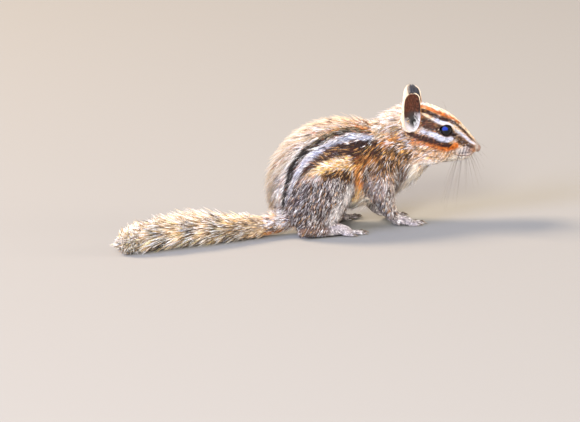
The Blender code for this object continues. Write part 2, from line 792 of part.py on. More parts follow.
def build_brush(floor, parts, work):
    """The brush behind the root: a core within half its depth, and locks out to its edge."""
    rows = [(x, y, z, core, core, core) for x, y, z, *_, core in TAIL]
    brush = loft("tail_brush", along_route(rows, steps=1), parts, sides=10, cap_rings=1)
    locks = bpy.data.collections.new("locks")
    bpy.context.scene.collection.children.link(locks)
    draw = random.Random(7)
    first, last = LOCK_ROOTS
    for ring in range(LOCK_RINGS):
        x = first + (last - first) * ring / (LOCK_RINGS - 1)
        for k in range(LOCKS_IN_RING):
            turn = 2 * math.pi * (k + 0.5 * (ring % 2)) / LOCKS_IN_RING
            vary = [1 + draw.uniform(-LOCK_VARIATION, LOCK_VARIATION) for _ in range(3)]
            place = x + draw.uniform(-1.2, 1.2)
            run = min(LOCK_RUN * vary[0], place - TAIL[-1][0] + 2.5)
            angle = turn + draw.uniform(-0.1, 0.1)
            size = LOCK_WIDTH * vary[2] * (0.72 + 0.28 * min(1, tail_at(place - 8)[1] / 9))
            tail_lock(f"lock_{ring}_{k}", place, angle, run, vary[1], size, locks)
    boolean(brush, locks, "UNION")
    boolean(brush, half_space("behind_base", BRUSH_PLANE, 0, work), "INTERSECT")
    boolean(brush, floor, "DIFFERENCE")
    for thing in list(locks.objects):
        bpy.data.objects.remove(thing)
    bpy.data.collections.remove(locks)
    return keep_largest(brush)


def build_tail_base(floor, parts, work):
    """The short-haired root of the tail."""
    root = tail_form("tail_base", parts)
    boolean(root, floor, "DIFFERENCE")
    boolean(root, half_space("before_brush", BRUSH_PLANE, GAP, work), "DIFFERENCE")
    return keep_largest(root)


def finish_node(thing, colour, roughness):
    thing.data.materials.clear()
    thing.data.materials.append(material(colour, roughness))
    thing.data.shade_smooth()
    thing.data.set_sharp_from_angle(angle=math.radians(50))


def stand_on_origin(things):
    """Moves every part so that the origin is under the middle of the whole, at floor level."""
    points = [vert.co for thing in things for vert in thing.data.vertices]
    low = Vector(min(p[k] for p in points) for k in range(3))
    high = Vector(max(p[k] for p in points) for k in range(3))
    shift = Vector(((low.x + high.x) / 2, (low.y + high.y) / 2, low.z))
    for thing in things:
        thing.data.transform(Matrix.Translation(-shift))


def main():
    clear_scene()
    scene = bpy.context.scene.collection
    parts = bpy.data.collections.new("chipmunk")
    work = bpy.data.collections.new("cutters")
    scene.children.link(parts)
    scene.children.link(work)

    head = build_head(parts, work)
    body = fused("torso", trunk_pieces(work), BODY_VOXEL, 6, BODY_TRIANGLES, parts)
    floor = floor_cutter(work)

    nodes = {"head": head, "torso": body}
    for side, sign in (("right", -1), ("left", 1)):
        nodes[f"eye_{side}"] = build_eye(f"eye_{side}", sign, parts)
        nodes[f"ear_{side}"] = build_ear(f"ear_{side}", sign, parts)

        paw_shift = 0 if side == "right" else -FAR_FORELEG_BACK
        foot_shift = 0 if side == "right" else FAR_HIND_LEG_AHEAD
        for name, low, high, shift in (
            ("thigh", (-16, 9.2, -2), (29.5, 30, 41), foot_shift),
            ("foreleg", (32.5, 7.9, -2), (58, 30, 34), paw_shift / 2),
        ):
            corners = [Vector((c[0] + shift, c[1] * sign, c[2])) for c in (low, high)]
            near = Vector(map(min, *corners))
            far = Vector(map(max, *corners))
            region = round_box(f"{name}_{side}_region", near, far, 8, 0, work)
            cutter = round_box(f"{name}_{side}_cutter", near, far, 8, GAP, work)
            nodes[f"{name}_{side}"] = split(f"{name}_{side}", body, region, cutter, parts)

        paw = build_forepaw(side, paw_shift, parts, work)
        foot = build_hind_foot(side, foot_shift, parts, work)
        nodes[paw.name], nodes[foot.name] = paw, foot
        for limb, end in ((nodes[f"foreleg_{side}"], paw), (nodes[f"thigh_{side}"], foot)):
            boolean(limb, grown(f"{end.name}_seat", end, GAP * 1.3, work), "DIFFERENCE")
            boolean(end, floor, "DIFFERENCE")
            keep_largest(end)
            keep_largest(limb)

    nodes["neck"] = split(
        "neck",
        body,
        half_space("before_shoulders", NECK_PLANE, 0, work),
        half_space("before_shoulders_gap", NECK_PLANE, GAP, work),
        parts,
    )
    boolean(nodes["neck"], half_space("head_gap", HEAD_PLANE, GAP, work), "DIFFERENCE")
    keep_largest(nodes["neck"])

    root = build_tail_base(floor, parts, work)
    nodes["tail_base"], nodes["tail_brush"] = root, build_brush(floor, parts, work)
    boolean(body, grown("tail_socket", root, GAP * 1.2, work), "DIFFERENCE")
    keep_largest(body)

    for thing in list(work.objects):
        bpy.data.objects.remove(thing)
    bpy.data.collections.remove(work)

    looks = {"eye": ("eye_wet", 0.1), "ear": ("skin_ear", 0.7), "head": ("coat_tawny", 0.8),
             "torso": ("coat_tawny", 0.85), "neck": ("coat_tawny", 0.85), "thigh": ("coat_grey", 0.85),
             "foreleg": ("coat_grey", 0.85), "forepaw": ("foot_buff", 0.7),
             "hind_foot": ("foot_buff", 0.7), "tail": ("coat_cream", 0.9)}
    for name, thing in nodes.items():
        colour, roughness = looks[name.rsplit("_", 1)[0] if "_" in name else name]
        finish_node(thing, colour, roughness)
    stand_on_origin(nodes.values())


main()
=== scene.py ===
"""The looks of a life-size western chipmunk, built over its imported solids.

Sizes here are millimetres in the animal's own frame (+X ahead, +Z up, the floor at 0) unless a
name says otherwise, and place() turns them into the scene's metres.
"""
import math

import bpy
import numpy as np
from mathutils import Matrix, Vector
from mathutils.bvhtree import BVHTree
from mathutils.kdtree import KDTree


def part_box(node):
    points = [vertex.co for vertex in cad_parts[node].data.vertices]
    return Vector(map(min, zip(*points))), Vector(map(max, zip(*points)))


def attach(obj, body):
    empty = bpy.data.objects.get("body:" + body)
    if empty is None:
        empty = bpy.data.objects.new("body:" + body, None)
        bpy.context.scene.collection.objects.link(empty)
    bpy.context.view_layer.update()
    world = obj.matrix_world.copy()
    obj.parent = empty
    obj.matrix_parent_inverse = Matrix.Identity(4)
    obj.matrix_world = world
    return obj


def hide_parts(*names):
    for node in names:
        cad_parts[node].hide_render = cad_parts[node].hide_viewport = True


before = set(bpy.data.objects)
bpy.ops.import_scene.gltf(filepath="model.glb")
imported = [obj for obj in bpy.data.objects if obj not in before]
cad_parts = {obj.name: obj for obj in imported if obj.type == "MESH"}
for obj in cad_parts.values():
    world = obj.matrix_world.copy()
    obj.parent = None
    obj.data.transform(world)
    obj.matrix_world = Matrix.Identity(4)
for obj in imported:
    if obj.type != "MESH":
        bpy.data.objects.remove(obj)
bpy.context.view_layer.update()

MM = 0.001

# The head's own frame: forward of the ears, out to the animal's left, up
HEAD_YAW = math.radians(-16)
HEAD_PLACE = np.array((60.0, -4.0, 0.0))
EYE = np.array((14.6, 5.35, 43.3))
EYE_RADIUS = 3.3
EYE_FORWARD = math.radians(14)  # how far an eye looks forward of sideways
EYE_TILT = math.radians(16)  # its front corner is the lower one
EYE_OPENING = (6.7, 5.1)
NOSE = (28.5, 0.0, 33.0)
NOSE_RADII = (1.5, 1.9, 1.8)

# The ear: the ends of its opening, how far it looks forward of sideways, and rows of
# height share, half width and depth of the cup
EAR_BOTTOM = np.array((-0.4, 9.9, 44.0))
EAR_TOP = np.array((0.2, 10.4, 61.3))
EAR_FORWARD = math.radians(35)
EAR_ROWS = [
    (0.00, 0.9, 0.4), (0.06, 2.6, 1.9), (0.15, 3.7, 3.3), (0.28, 4.3, 4.0), (0.44, 4.45, 3.7),
    (0.60, 4.4, 2.9), (0.75, 4.2, 2.1), (0.87, 3.8, 1.5), (0.95, 3.0, 1.0), (1.00, 1.6, 0.5),
]

# The trunk's axis, tail end first
SPINE = [
    (-1.5, 0, 7), (1.5, 0, 11.5), (5.5, 0, 17.5), (11, 0, 24.5), (18.5, 0, 29.8), (27.5, 0, 32),
    (36.5, 0, 32.5), (45, -0.4, 34), (52, -1.8, 37.2), (58, -3.6, 40.5), (64, -5.1, 42),
]

# The tail: x, y, z, half width, half height, radius of the core under the hair
TAIL = [
    (-3.2, 0, 6.9, 4.6, 4.6, 4.4), (-9, 0.2, 5.6, 4.6, 4.4, 4.3), (-16, 0.6, 5.2, 5.2, 4.6, 4.2),
    (-22, 1, 5.4, 6.4, 5.3, 3.4), (-30, 1.4, 5.9, 8, 6.4, 3.1), (-38, 1.6, 6.6, 9.2, 7.4, 3.1),
    (-52, 1.2, 6.8, 9.8, 7.8, 3.1), (-64, 0, 6.4, 9, 7.2, 2.8), (-74, -1.4, 5.6, 6.6, 5.6, 2.1),
    (-79.5, -2.4, 4.8, 3, 2.9, 1.2),
]

# Feet: where the leg stands on them, their heading, and their digits
WRIST, HEEL = (46.6, 10.2), (2.4, 15.4)
FAR_FORELEG_BACK, FAR_HIND_LEG_AHEAD = 3.0, 6.0
FINGERS = dict(end=7.2, half=2.6, heading=4, spread=(-26, -8, 8, 26),
               length=(4.6, 5.6, 5.5, 4.4), back=(0.9, 0.0, 0.0, 0.9))
TOES = dict(end=20.6, half=2.9, heading=5, spread=(-30, -11, 0, 11, 28),
            length=(4.6, 6.6, 7.2, 6.6, 4.4), back=(2.6, 0.4, 0.0, 0.4, 2.8))

# The mouth line on one side, forward and up, and the rows of whisker roots
MOUTH = [(26.2, 31.2), (25.0, 30.5), (23.2, 30.3), (21.2, 30.4), (19.4, 30.8), (17.8, 31.6)]
WHISKER_ROOTS = [np.array((25.2 - 1.35 * k - 0.3 * row, 0.0, 34.2 - 0.85 * row - 0.12 * k))
                 for row in range(4) for k in range(4 if row else 3)]

SKIN_VOXEL = 0.4
FLESH_GROWTH = 0.2  # so that neighbours meet before they are made one skin
CORE_SHARE = 0.96  # of the tail's core, which its own hair covers
SKIN_OFF_FLOOR, HAIR_OFF_FLOOR = 0.12, 0.15
SIDES = ((-1, "right"), (1, "left"))

# The nodes that the skin is made from, and all that it stands for
FLESH = [
    "head", "neck", "torso", "tail_base", "thigh_left", "thigh_right", "foreleg_left",
    "foreleg_right", "forepaw_left", "forepaw_right", "hind_foot_left", "hind_foot_right",
]
REPLACED = FLESH + ["tail_brush", "ear_left", "ear_right"]


# Places and numbers

def turned(points, angle):
    """Points or ways turned about the upright axis."""
    c, s = math.cos(angle), math.sin(angle)
    p = np.asarray(points, float)
    return np.stack([c * p[..., 0] - s * p[..., 1], s * p[..., 0] + c * p[..., 1], p[..., 2]], -1)


def turn_to_head(ways):
    return turned(ways, -HEAD_YAW)


def turn_from_head(ways):
    return turned(ways, HEAD_YAW)


def to_head(points):
    """Places as forward of the ears, to the animal's left, and up."""
    return turn_to_head(np.asarray(points, float) - HEAD_PLACE)


def from_head(points):
    """Places in the animal's frame from places in the head's own."""
    return turn_from_head(points) + HEAD_PLACE


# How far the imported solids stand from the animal's own frame, as an eye shows
EYE_BOX = np.array([list(corner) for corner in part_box("eye_right")])
SHIFT = EYE_BOX.mean(0) - from_head(EYE * (1, -1, 1)) * MM


def place(points):
    """The scene's metres from the animal's millimetres."""
    return np.asarray(points, float) * MM + SHIFT


def unplace(points):
    """The animal's millimetres from the scene's metres."""
    return (np.asarray(points, float) - SHIFT) / MM


def unit(vectors):
    """Ways of length 1."""
    size = np.linalg.norm(vectors, axis=-1, keepdims=True)
    return vectors / np.maximum(size, 1e-9)


def dot(a, b):
    """The product of each way in a with the one in b."""
    return (a * b).sum(-1)


def ramp(value, low, high):
    """0 below low, 1 above high, and smooth between."""
    t = np.clip((np.asarray(value, float) - low) / (high - low), 0, 1)
    return t * t * (3 - 2 * t)


def fade(value, low, high):
    """1 below low, 0 above high, and smooth between."""
    return 1 - ramp(value, low, high)


def mix(a, b, share):
    """a where share is 0 and b where it is 1."""
    return a * (1 - share) + b * share


def columns_at(value, rows):
    """The other columns of a table where its first, which rises, has each value."""
    table = np.array(rows, float)
    return np.stack([np.interp(value, table[:, 0], column) for column in table[:, 1:].T], 1)


def smooth_rows(rows, steps):
    """The rows of a table with more rows read between them on a Catmull-Rom curve."""
    table = np.array(rows, float)
    padded = np.vstack([2 * table[0] - table[1], table, 2 * table[-1] - table[-2]])
    made = []
    for i in range(1, len(padded) - 2):
        a, b, c, d = padded[i - 1:i + 3]
        for step in range(steps):
            t = step / steps
            made.append(0.5 * (2 * b + (c - a) * t + (2 * a - 5 * b + 4 * c - d) * t * t
                               + (3 * b - a - 3 * c + d) * t**3))
    made.append(table[-1])
    return np.array(made)


# Colours and finishes

def linear(hex_colour):
    """An sRGB hex colour as linear numbers."""
    value = [int(hex_colour[i:i + 2], 16) / 255 for i in (1, 3, 5)]
    return np.array([v / 12.92 if v <= 0.04045 else ((v + 0.055) / 1.055) ** 2.4 for v in value])


def add(tree, kind, settings=None, links=None):
    """A node of a kind with its settings, and its inputs set or linked."""
    node = tree.nodes.new(kind)
    for key, value in (settings or {}).items():
        setattr(node, key, value)
    for key, value in (links or {}).items():
        if isinstance(value, bpy.types.NodeSocket):
            tree.links.new(value, node.inputs[key])
        else:
            node.inputs[key].default_value = value
    return node


def finish(name, settings):
    """A new material whose shader has these settings: the material, its tree and the shader."""
    material = bpy.data.materials.new(name)
    material.use_nodes = True
    tree = material.node_tree
    shader = tree.nodes["Principled BSDF"]
    for key, value in settings.items():
        shader.inputs[key].default_value = value
    return material, tree, shader


def rgba(hex_colour):
    return (*linear(hex_colour), 1.0)


def new_object(name, data):
    """An object of the scene that holds some data."""
    thing = bpy.data.objects.new(name, data)
    bpy.context.scene.collection.objects.link(thing)
    return thing


def fur_finish(name, rough, grain_mm, depth):
    """Keratin hair that keeps the pelt's own markings. The grain stands for hairs too thin to
    model: a real one is 0.03 mm thick, and the grain is drawn coarser so that it shows."""
    material, tree, shader = finish(name, {
        "Roughness": rough, "IOR": 1.55, "Specular IOR Level": 0.3, "Sheen Weight": 0.05,
        "Sheen Roughness": 0.4})
    pelt_tone = add(tree, "ShaderNodeAttribute", {"attribute_name": "pelt"})
    where = add(tree, "ShaderNodeTexCoord")
    grain = add(tree, "ShaderNodeTexNoise", {},
                {"Vector": where.outputs["Object"], "Scale": 1 / (grain_mm * MM), "Detail": 2.0})
    lift = add(tree, "ShaderNodeMapRange", {},
               {"Value": grain.outputs["Fac"], "From Min": 0.3, "From Max": 0.7,
                "To Min": 1 - depth, "To Max": 1 + depth})
    tint = add(tree, "ShaderNodeVectorMath", {"operation": "SCALE"},
               {0: pelt_tone.outputs["Color"], "Scale": lift.outputs["Result"]})
    tree.links.new(tint.outputs[0], shader.inputs["Base Color"])
    return material


def skin_finish(name, hex_colour, hex_deep, rough, grain_mm, bump_mm, wet=0.0):
    """Bare skin: leathery, finely pebbled, darker in its folds."""
    material, tree, shader = finish(name, {
        "Roughness": rough, "IOR": 1.42, "Coat Weight": wet, "Coat Roughness": 0.15})
    where = add(tree, "ShaderNodeTexCoord")
    cells = add(tree, "ShaderNodeTexVoronoi", {"feature": "SMOOTH_F1"},
                {"Vector": where.outputs["Object"], "Scale": 1 / (grain_mm * MM)})
    cloud = add(tree, "ShaderNodeTexNoise", {},
                {"Vector": where.outputs["Object"], "Scale": 1 / (6 * grain_mm * MM)})
    blend = add(tree, "ShaderNodeMath", {"operation": "MULTIPLY"},
                {0: cells.outputs["Distance"], 1: cloud.outputs["Fac"]})
    colour = add(tree, "ShaderNodeMix", {"data_type": "RGBA"},
                 {"Factor": blend.outputs[0], "A": rgba(hex_colour), "B": rgba(hex_deep)})
    bump = add(tree, "ShaderNodeBump", {},
               {"Height": cells.outputs["Distance"], "Distance": bump_mm * MM, "Strength": 0.6})
    tree.links.new(colour.outputs["Result"], shader.inputs["Base Color"])
    tree.links.new(bump.outputs[0], shader.inputs["Normal"])
    return material


def attribute_finish(name, rough, coat, ior):
    """A smooth horny or wet part whose colour runs along it."""
    material, tree, shader = finish(name, {
        "IOR": ior, "Specular IOR Level": 0.4, "Coat Weight": coat, "Coat Roughness": 0.03})
    tone = add(tree, "ShaderNodeAttribute", {"attribute_name": "pelt"})
    where = add(tree, "ShaderNodeTexCoord")
    streak = add(tree, "ShaderNodeTexNoise", {},
                 {"Vector": where.outputs["Object"], "Scale": 1 / (0.35 * MM), "Detail": 3.0})
    rough_map = add(tree, "ShaderNodeMapRange", {},
                    {"Value": streak.outputs["Fac"], "To Min": rough * 0.8, "To Max": rough * 1.2})
    tree.links.new(tone.outputs["Color"], shader.inputs["Base Color"])
    tree.links.new(rough_map.outputs["Result"], shader.inputs["Roughness"])
    return material


# Long outer hair over dense underfur: soft and matt, with a faint grain
COAT_FUR = fur_finish("fur_guard_hair_and_underfur", 0.6, 0.35, 0.12)
# The close underfur that shows between the hairs: quite matt and fine
SKIN_UNDER_FUR = fur_finish("fur_close_underfur_on_skin", 0.85, 0.12, 0.3)
# Thin ear skin with hair as short as velvet's: matt, with a very fine grain
EAR_SKIN = fur_finish("fur_velvet_on_ear_skin", 0.75, 0.1, 0.18)
# Nose leather: small pebbles with a moist shine
NOSE_SKIN = skin_finish("skin_moist_pebbled_nose_leather", "#8F7567", "#57423A", 0.42, 0.16, 0.05, 0.2)
# The lids' rims: nearly black, smooth and wet with tears
LID_SKIN = skin_finish("skin_pigmented_lid_rim", "#2C1D17", "#150D0A", 0.4, 0.12, 0.02, 0.4)
# The edge of the lips: brown and slightly moist
LIP_SKIN = skin_finish("skin_brown_lip_margin", "#7A5648", "#4A3028", 0.45, 0.14, 0.02, 0.2)
# The eye: a clear wet shell over dark brown, which mirrors the lamps sharply
EYE_WET = attribute_finish("cornea_wet_dark_brown_eye", 0.05, 0.42, 1.376)
# Claw horn: smooth and a little waxy
CLAW_HORN = attribute_finish("horn_translucent_brown_claw", 0.32, 0.25, 1.54)
# A whisker: stiff keratin with a dull gloss along it
WHISKER_HAIR = attribute_finish("keratin_tapered_whisker", 0.35, 0.0, 1.55)


# Meshes

def mesh_piece(name, points, faces, material, colours=None, uvs=None, replaces=()):
    """A shown piece from points and from faces that all have three or all have four corners,
    with the pelt's colours on its points and a bake map on its corners."""
    faces = np.asarray(faces, np.int32)
    corners = faces.shape[1]
    mesh = bpy.data.meshes.new(name)
    mesh.vertices.add(len(points))
    mesh.vertices.foreach_set("co", place(points).astype(np.float32).ravel())
    mesh.loops.add(faces.size)
    mesh.loops.foreach_set("vertex_index", faces.ravel())
    mesh.polygons.add(len(faces))
    mesh.polygons.foreach_set("loop_start", np.arange(0, faces.size, corners, dtype=np.int32))
    mesh.update(calc_edges=True)
    mesh.shade_smooth()
    if colours is not None:
        layer = mesh.color_attributes.new("pelt", "FLOAT_COLOR", "POINT")
        full = np.ones((len(points), 4), np.float32)
        full[:, :3] = colours
        layer.data.foreach_set("color", full.ravel())
    if uvs is not None:
        layer = mesh.uv_layers.new(name="OFBake")
        layer.uv.foreach_set("vector", uvs.astype(np.float32).ravel())
    mesh.materials.append(material)
    piece = new_object(name, mesh)
    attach(piece, "root")
    if replaces:
        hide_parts(*replaces)
    return piece


def ring_quads(rings, sides, flipped=False):
    """Quads between rings of points, each ring closed on itself."""
    quads = []
    for i in range(rings - 1):
        for k in range(sides):
            n = (k + 1) % sides
            a, b, c, d = i * sides + k, i * sides + n, (i + 1) * sides + n, (i + 1) * sides + k
            quads.append((a, d, c, b) if flipped else (a, b, c, d))
    return quads


def facing_out(quads, side):
    """Quads made for the animal's left, turned over where they are on its right."""
    return [quad[::-1] for quad in quads] if side < 0 else quads


def triangles_of(quads):
    """Triangles from quads, of which some have a corner twice."""
    made = []
    for a, b, c, d in quads:
        made.append((a, b, c))
        if c != d:
            made.append((a, c, d))
    return made


def tube(rows, sides):
    """Points and triangles of a closed tube along rows of x, y, z, radius."""
    rows = np.asarray(rows, float)
    centre = rows[:, :3]
    ahead = unit(np.gradient(centre, axis=0))
    never_ahead = (0.0, 0.0, 1.0) if abs(ahead[:, 2]).max() < 0.9 else (0.31, 0.95, 0.05)
    side = unit(np.cross(ahead, never_ahead))
    up = np.cross(side, ahead)
    angle = np.arange(sides) * 2 * math.pi / sides
    ring = side[:, None] * np.cos(angle)[None, :, None] + up[:, None] * np.sin(angle)[None, :, None]
    points = (centre[:, None] + ring * rows[:, 3][:, None, None]).reshape(-1, 3)
    quads = ring_quads(len(rows), sides)
    count, last = len(points), (len(rows) - 1) * sides
    for k in range(sides):
        n = (k + 1) % sides
        quads.append((count, n, k, k))
        quads.append((count + 1, last + k, last + n, last + n))
    return np.vstack([points, centre[0], centre[-1]]), triangles_of(quads)


def joined(parts):
    """One set of points, faces and values from several."""
    starts = np.cumsum([0] + [len(points) for points, _, _ in parts[:-1]])
    faces = [np.array(own) + start for (_, own, _), start in zip(parts, starts)]
    return np.vstack([part[0] for part in parts]), np.vstack(faces), np.vstack([part[2] for part in parts])


def read(items, key, wide, kind=np.int32):
    """One property of each of a mesh's items, as rows of numbers."""
    values = np.empty(len(items) * wide, kind)
    items.foreach_get(key, values)
    return values.reshape(-1, wide)


def tree_of(points, faces):
    """A search tree over a mesh."""
    return BVHTree.FromPolygons([tuple(p) for p in points], [tuple(map(int, f)) for f in faces])


def halved(quads):
    """Two triangles for each quad."""
    return np.vstack([quads[:, (0, 1, 2)], quads[:, (0, 2, 3)]])


# Skin

def flesh_mesh():
    """The nodes of flesh, grown a little, and the tail's core: their points, their triangles
    and the number of the node that each triangle is of."""
    solids = []
    for k, name in enumerate(FLESH):
        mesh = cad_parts[name].data
        mesh.calc_loop_triangles()
        points = unplace(read(mesh.vertices, "co", 3, np.float32))
        tri = read(mesh.loop_triangles, "vertices", 3)
        _, first, same = np.unique(np.round(points, 4), axis=0, return_index=True, return_inverse=True)
        points, tri = points[first], same.ravel()[tri]
        grown = points + point_normals(points, tri) * FLESH_GROWTH
        solids.append((grown, tri, np.full((len(tri), 1), k)))
    core = smooth_rows([(x, y, z, radius * CORE_SHARE) for x, y, z, *_, radius in TAIL[1:]], 3)
    points, tri = tube(core, 16)
    solids.append((points, tri, np.full((len(tri), 1), len(FLESH))))
    points, faces, owner = joined(solids)
    return points, faces, owner.ravel()


def point_normals(points, tri):
    a, b, c = (points[tri[:, k]] for k in range(3))
    cross = np.cross(b - a, c - a)
    normal = np.stack([sum(np.bincount(tri[:, k], cross[:, axis], len(points)) for k in range(3))
                       for axis in range(3)], 1)
    return unit(normal)


def remeshed(points, faces, voxel):
    """One closed skin round all that the mesh holds: points, quads and edges."""
    mesh = bpy.data.meshes.new("flesh")
    mesh.from_pydata(points.tolist(), [], faces.tolist())
    thing = new_object("flesh", mesh)
    step = thing.modifiers.new("close", "REMESH")
    step.mode = "VOXEL"
    step.voxel_size = voxel
    graph = bpy.context.evaluated_depsgraph_get()
    made = bpy.data.meshes.new_from_object(thing.evaluated_get(graph))
    bpy.data.objects.remove(thing)
    assert len(made.loops) == 4 * len(made.polygons)
    return (read(made.vertices, "co", 3, np.float32).astype(float),
            read(made.loops, "vertex_index", 1).reshape(-1, 4), read(made.edges, "vertices", 2))


def averaged(values, edges, times, hold=None):
    """Values spread over the skin: times over, each point takes its neighbours' mean, or goes
    the share of the way to it that hold says."""
    values = np.array(values, float)
    count = len(values)
    flat = values.reshape(count, -1)
    degree = np.bincount(edges.ravel(), minlength=count)
    a, b = edges[:, 0], edges[:, 1]
    for _ in range(times):
        total = np.stack([np.bincount(a, col[b], count) + np.bincount(b, col[a], count)
                          for col in flat.T], 1)
        mean = total / degree[:, None]
        flat = mean if hold is None else flat + (mean - flat) * hold
    return flat.reshape(values.shape)


# For each kind of node: coat depth, hair length, hair width, hairs per square mm, how the hair
# lies (ahead, out, up)
COAT = {
    "head": (1.0, 2.4, 0.16, 12.0, (-1.0, 0.0, -0.2)),
    "neck": (2.3, 4.5, 0.26, 8.8, (-0.85, 0.1, -0.6)),
    "torso": (2.9, 5.6, 0.28, 7.8, (-1.0, 0.05, -0.5)),
    "tail_base": (0.9, 3.4, 0.23, 10.0, (-1.0, 0.0, 0.0)),
    "thigh": (2.1, 4.2, 0.22, 10.8, (-0.55, 0.0, -0.85)),
    "foreleg": (1.4, 3.4, 0.22, 11.0, (-0.3, 0.0, -1.0)),
    "forepaw": (0.25, 1.2, 0.15, 13.0, (1.0, 0.0, -0.35)),
    "hind_foot": (0.3, 1.4, 0.16, 12.0, (1.0, 0.0, -0.2)),
    "tail": (0.0, 4.0, 0.3, 0.0, (-1.0, 0.0, 0.0)),
}
KINDS = list(COAT)
HEAD, NECK, TORSO, TAIL_ROOT, THIGH, FORELEG, FOREPAW, HIND_FOOT, BRUSH = range(len(KINDS))
# Along the head, forward of the ears: coat depth, hair length, hair width, hairs per square mm
HEAD_COAT = [(-8, 2.2, 4.2, 0.21, 10), (3, 1.6, 3.1, 0.19, 12), (12, 0.95, 2.2, 0.165, 15),
             (20, 0.6, 1.6, 0.145, 18), (25, 0.35, 1.0, 0.12, 22), (28.5, 0.12, 0.5, 0.1, 24)]
# Up a leg: height, coat depth, hair length
LEG_COAT = [(3, 0.3, 1.4), (7, 0.45, 2.1), (12, 0.8, 2.9), (20, 1.6, 4.0), (30, 2.3, 5.0)]
# Along the top of a haunch the hair stands up over the stripe beside it
HAUNCH_CREST = (-0.8, 0.25, 0.7)
# So far ahead of the heel, and from so high, a hind foot has the leg's longer coat
HEEL_COAT_END, HEEL_COAT_FLOOR = 11.5, 1.0


def coat_sizes(kind, outer, head):
    """Coat depth, hair length, hair width and hairs per square mm at each point."""
    table = np.array([COAT[name][:4] for name in KINDS])[kind]
    on_head, leg, haunch = kind == HEAD, np.isin(kind, (THIGH, FORELEG)), kind == THIGH
    table[on_head] = columns_at(head[on_head, 0], HEAD_COAT)
    table[leg, :2] = columns_at(outer[leg, 2], LEG_COAT)
    table[haunch, 1] = np.clip(table[haunch, 1] * 0.9, 3.6, 4.2)
    return table


def coat_lie(kind, outer, head, normal, edges):
    """The way the hair lies at each point: along the skin, and away from the eyes."""
    way = np.array([COAT[name][4] for name in KINDS])[kind]
    way[(kind == THIGH) & (outer[:, 2] > 32.0) & (outer[:, 0] > 9)] = HAUNCH_CREST
    way[:, 1] *= np.sign(outer[:, 1])
    way[kind == HEAD] = turn_from_head(way[kind == HEAD])
    for side, _ in SIDES:
        away = head - EYE * (1, side, 1)
        near = fade(np.linalg.norm(away, axis=1), 4.6, 7.0)[:, None]
        way = mix(way, turn_from_head(unit(away)) + turn_from_head((-0.2, 0, 0)), near)
    way = averaged(way, edges, 120)
    return unit(way - normal * dot(way, normal)[:, None])


def build_skin():
    """The skin's points as they are (inner) and at the tips of the coat (outer), and all that
    the coat follows: its lie, length, width and number of hairs, and shares of each kind."""
    points, faces, owner = flesh_mesh()
    outer, quads, edges = remeshed(points, faces, SKIN_VOXEL)
    tree = tree_of(points, faces)
    kind_of = [KINDS.index(name.replace("_left", "").replace("_right", "")) for name in FLESH]
    nearest = np.array([tree.find_nearest(Vector(p))[2] for p in outer])
    kind = np.array(kind_of + [BRUSH])[owner[nearest]]
    from_heel = outer[:, 0] - HEEL[0] - np.where(outer[:, 1] > 0, FAR_HIND_LEG_AHEAD, 0)
    heel = (kind == HIND_FOOT) & (from_heel < HEEL_COAT_END) & (outer[:, 2] > HEEL_COAT_FLOOR)
    kind[heel] = THIGH
    outer = averaged(outer, edges, 3, 0.5)
    shares = averaged(np.eye(len(KINDS))[kind], edges, 40)
    normal = point_normals(outer, halved(quads))
    head = to_head(outer)
    eye_gap = np.min([np.linalg.norm(head - EYE * (1, side, 1), axis=1) for side, _ in SIDES], axis=0)
    depth, length, width, dense = averaged(coat_sizes(kind, outer, head), edges, 50).T
    way = coat_lie(kind, outer, head, normal, edges)
    # Round an eye the skin draws in and the coat thins, so that the lids lie clear of it
    outer = outer - normal * (0.5 * fade(eye_gap, 3.9, 5.2))[:, None]
    depth = mix(0.05, depth, ramp(eye_gap, 3.6, 6.0))
    length = length * (0.45 + 0.55 * ramp(eye_gap, 4.0, 7.0))
    sunk = averaged(depth + FLESH_GROWTH, edges, 10)
    inner = outer - normal * sunk[:, None]
    inner = averaged(inner, edges, 6, np.clip(sunk / 3, 0.05, 0.5)[:, None])
    inner[:, 2] = np.maximum(inner[:, 2], SKIN_OFF_FLOOR)
    return dict(inner=inner, outer=outer - normal * FLESH_GROWTH, quads=quads, normal=normal,
                way=way, depth=depth, length=length, width=width, dense=dense, shares=shares,
                eye_gap=eye_gap)


# Markings

SPINE_LINE = smooth_rows(SPINE, 8)
SPINE_AHEAD = unit(np.gradient(SPINE_LINE, axis=0))
SPINE_SIDE = unit(np.cross(SPINE_AHEAD, (0, 0, 1.0)))
SPINE_UP = np.cross(SPINE_SIDE, SPINE_AHEAD)
SPINE_RUN = np.concatenate([[0], np.cumsum(np.linalg.norm(np.diff(SPINE_LINE, axis=0), axis=1))])

# The stripes of the back: distance along the spine from the tail, angle from the top of the back
# in degrees, half width in mm
INNER_DARK = [(2, 46.5, 0.6), (6, 47, 0.9), (10, 46, 1.1), (16, 43, 1.5), (22, 38.5, 1.9),
              (28, 36.5, 1.9), (34, 34.5, 1.7), (40, 31.5, 1.5), (46, 31.5, 1.4), (51, 33.5, 1.1),
              (56, 36, 0.3)]
INNER_AMBER = [(32, 28, 0.3), (36, 26, 0.9), (42, 24.5, 1.2), (48, 25.5, 1.3), (54, 30, 1.2),
               (60, 38, 0.4)]
WHITE = [(5, 57.5, 0.8), (12, 55, 0.9), (18, 52.5, 1.0), (24, 51, 1.1), (30, 50, 1.2), (36, 46.5, 1.3),
         (42, 43, 1.6), (48, 42.5, 1.5), (54, 45, 1.4), (60, 50, 0.9), (64, 54, 0.3)]
OUTER_DARK = [(8, 66, 0.3), (14, 62.5, 0.9), (20, 60.5, 1.3), (26, 62, 1.9), (32, 62, 2.9), (36, 61.5, 3.6),
              (42, 60.5, 4.0), (48, 61.5, 3.8), (53, 64, 2.9), (58, 68, 1.6), (62, 72, 0.3)]
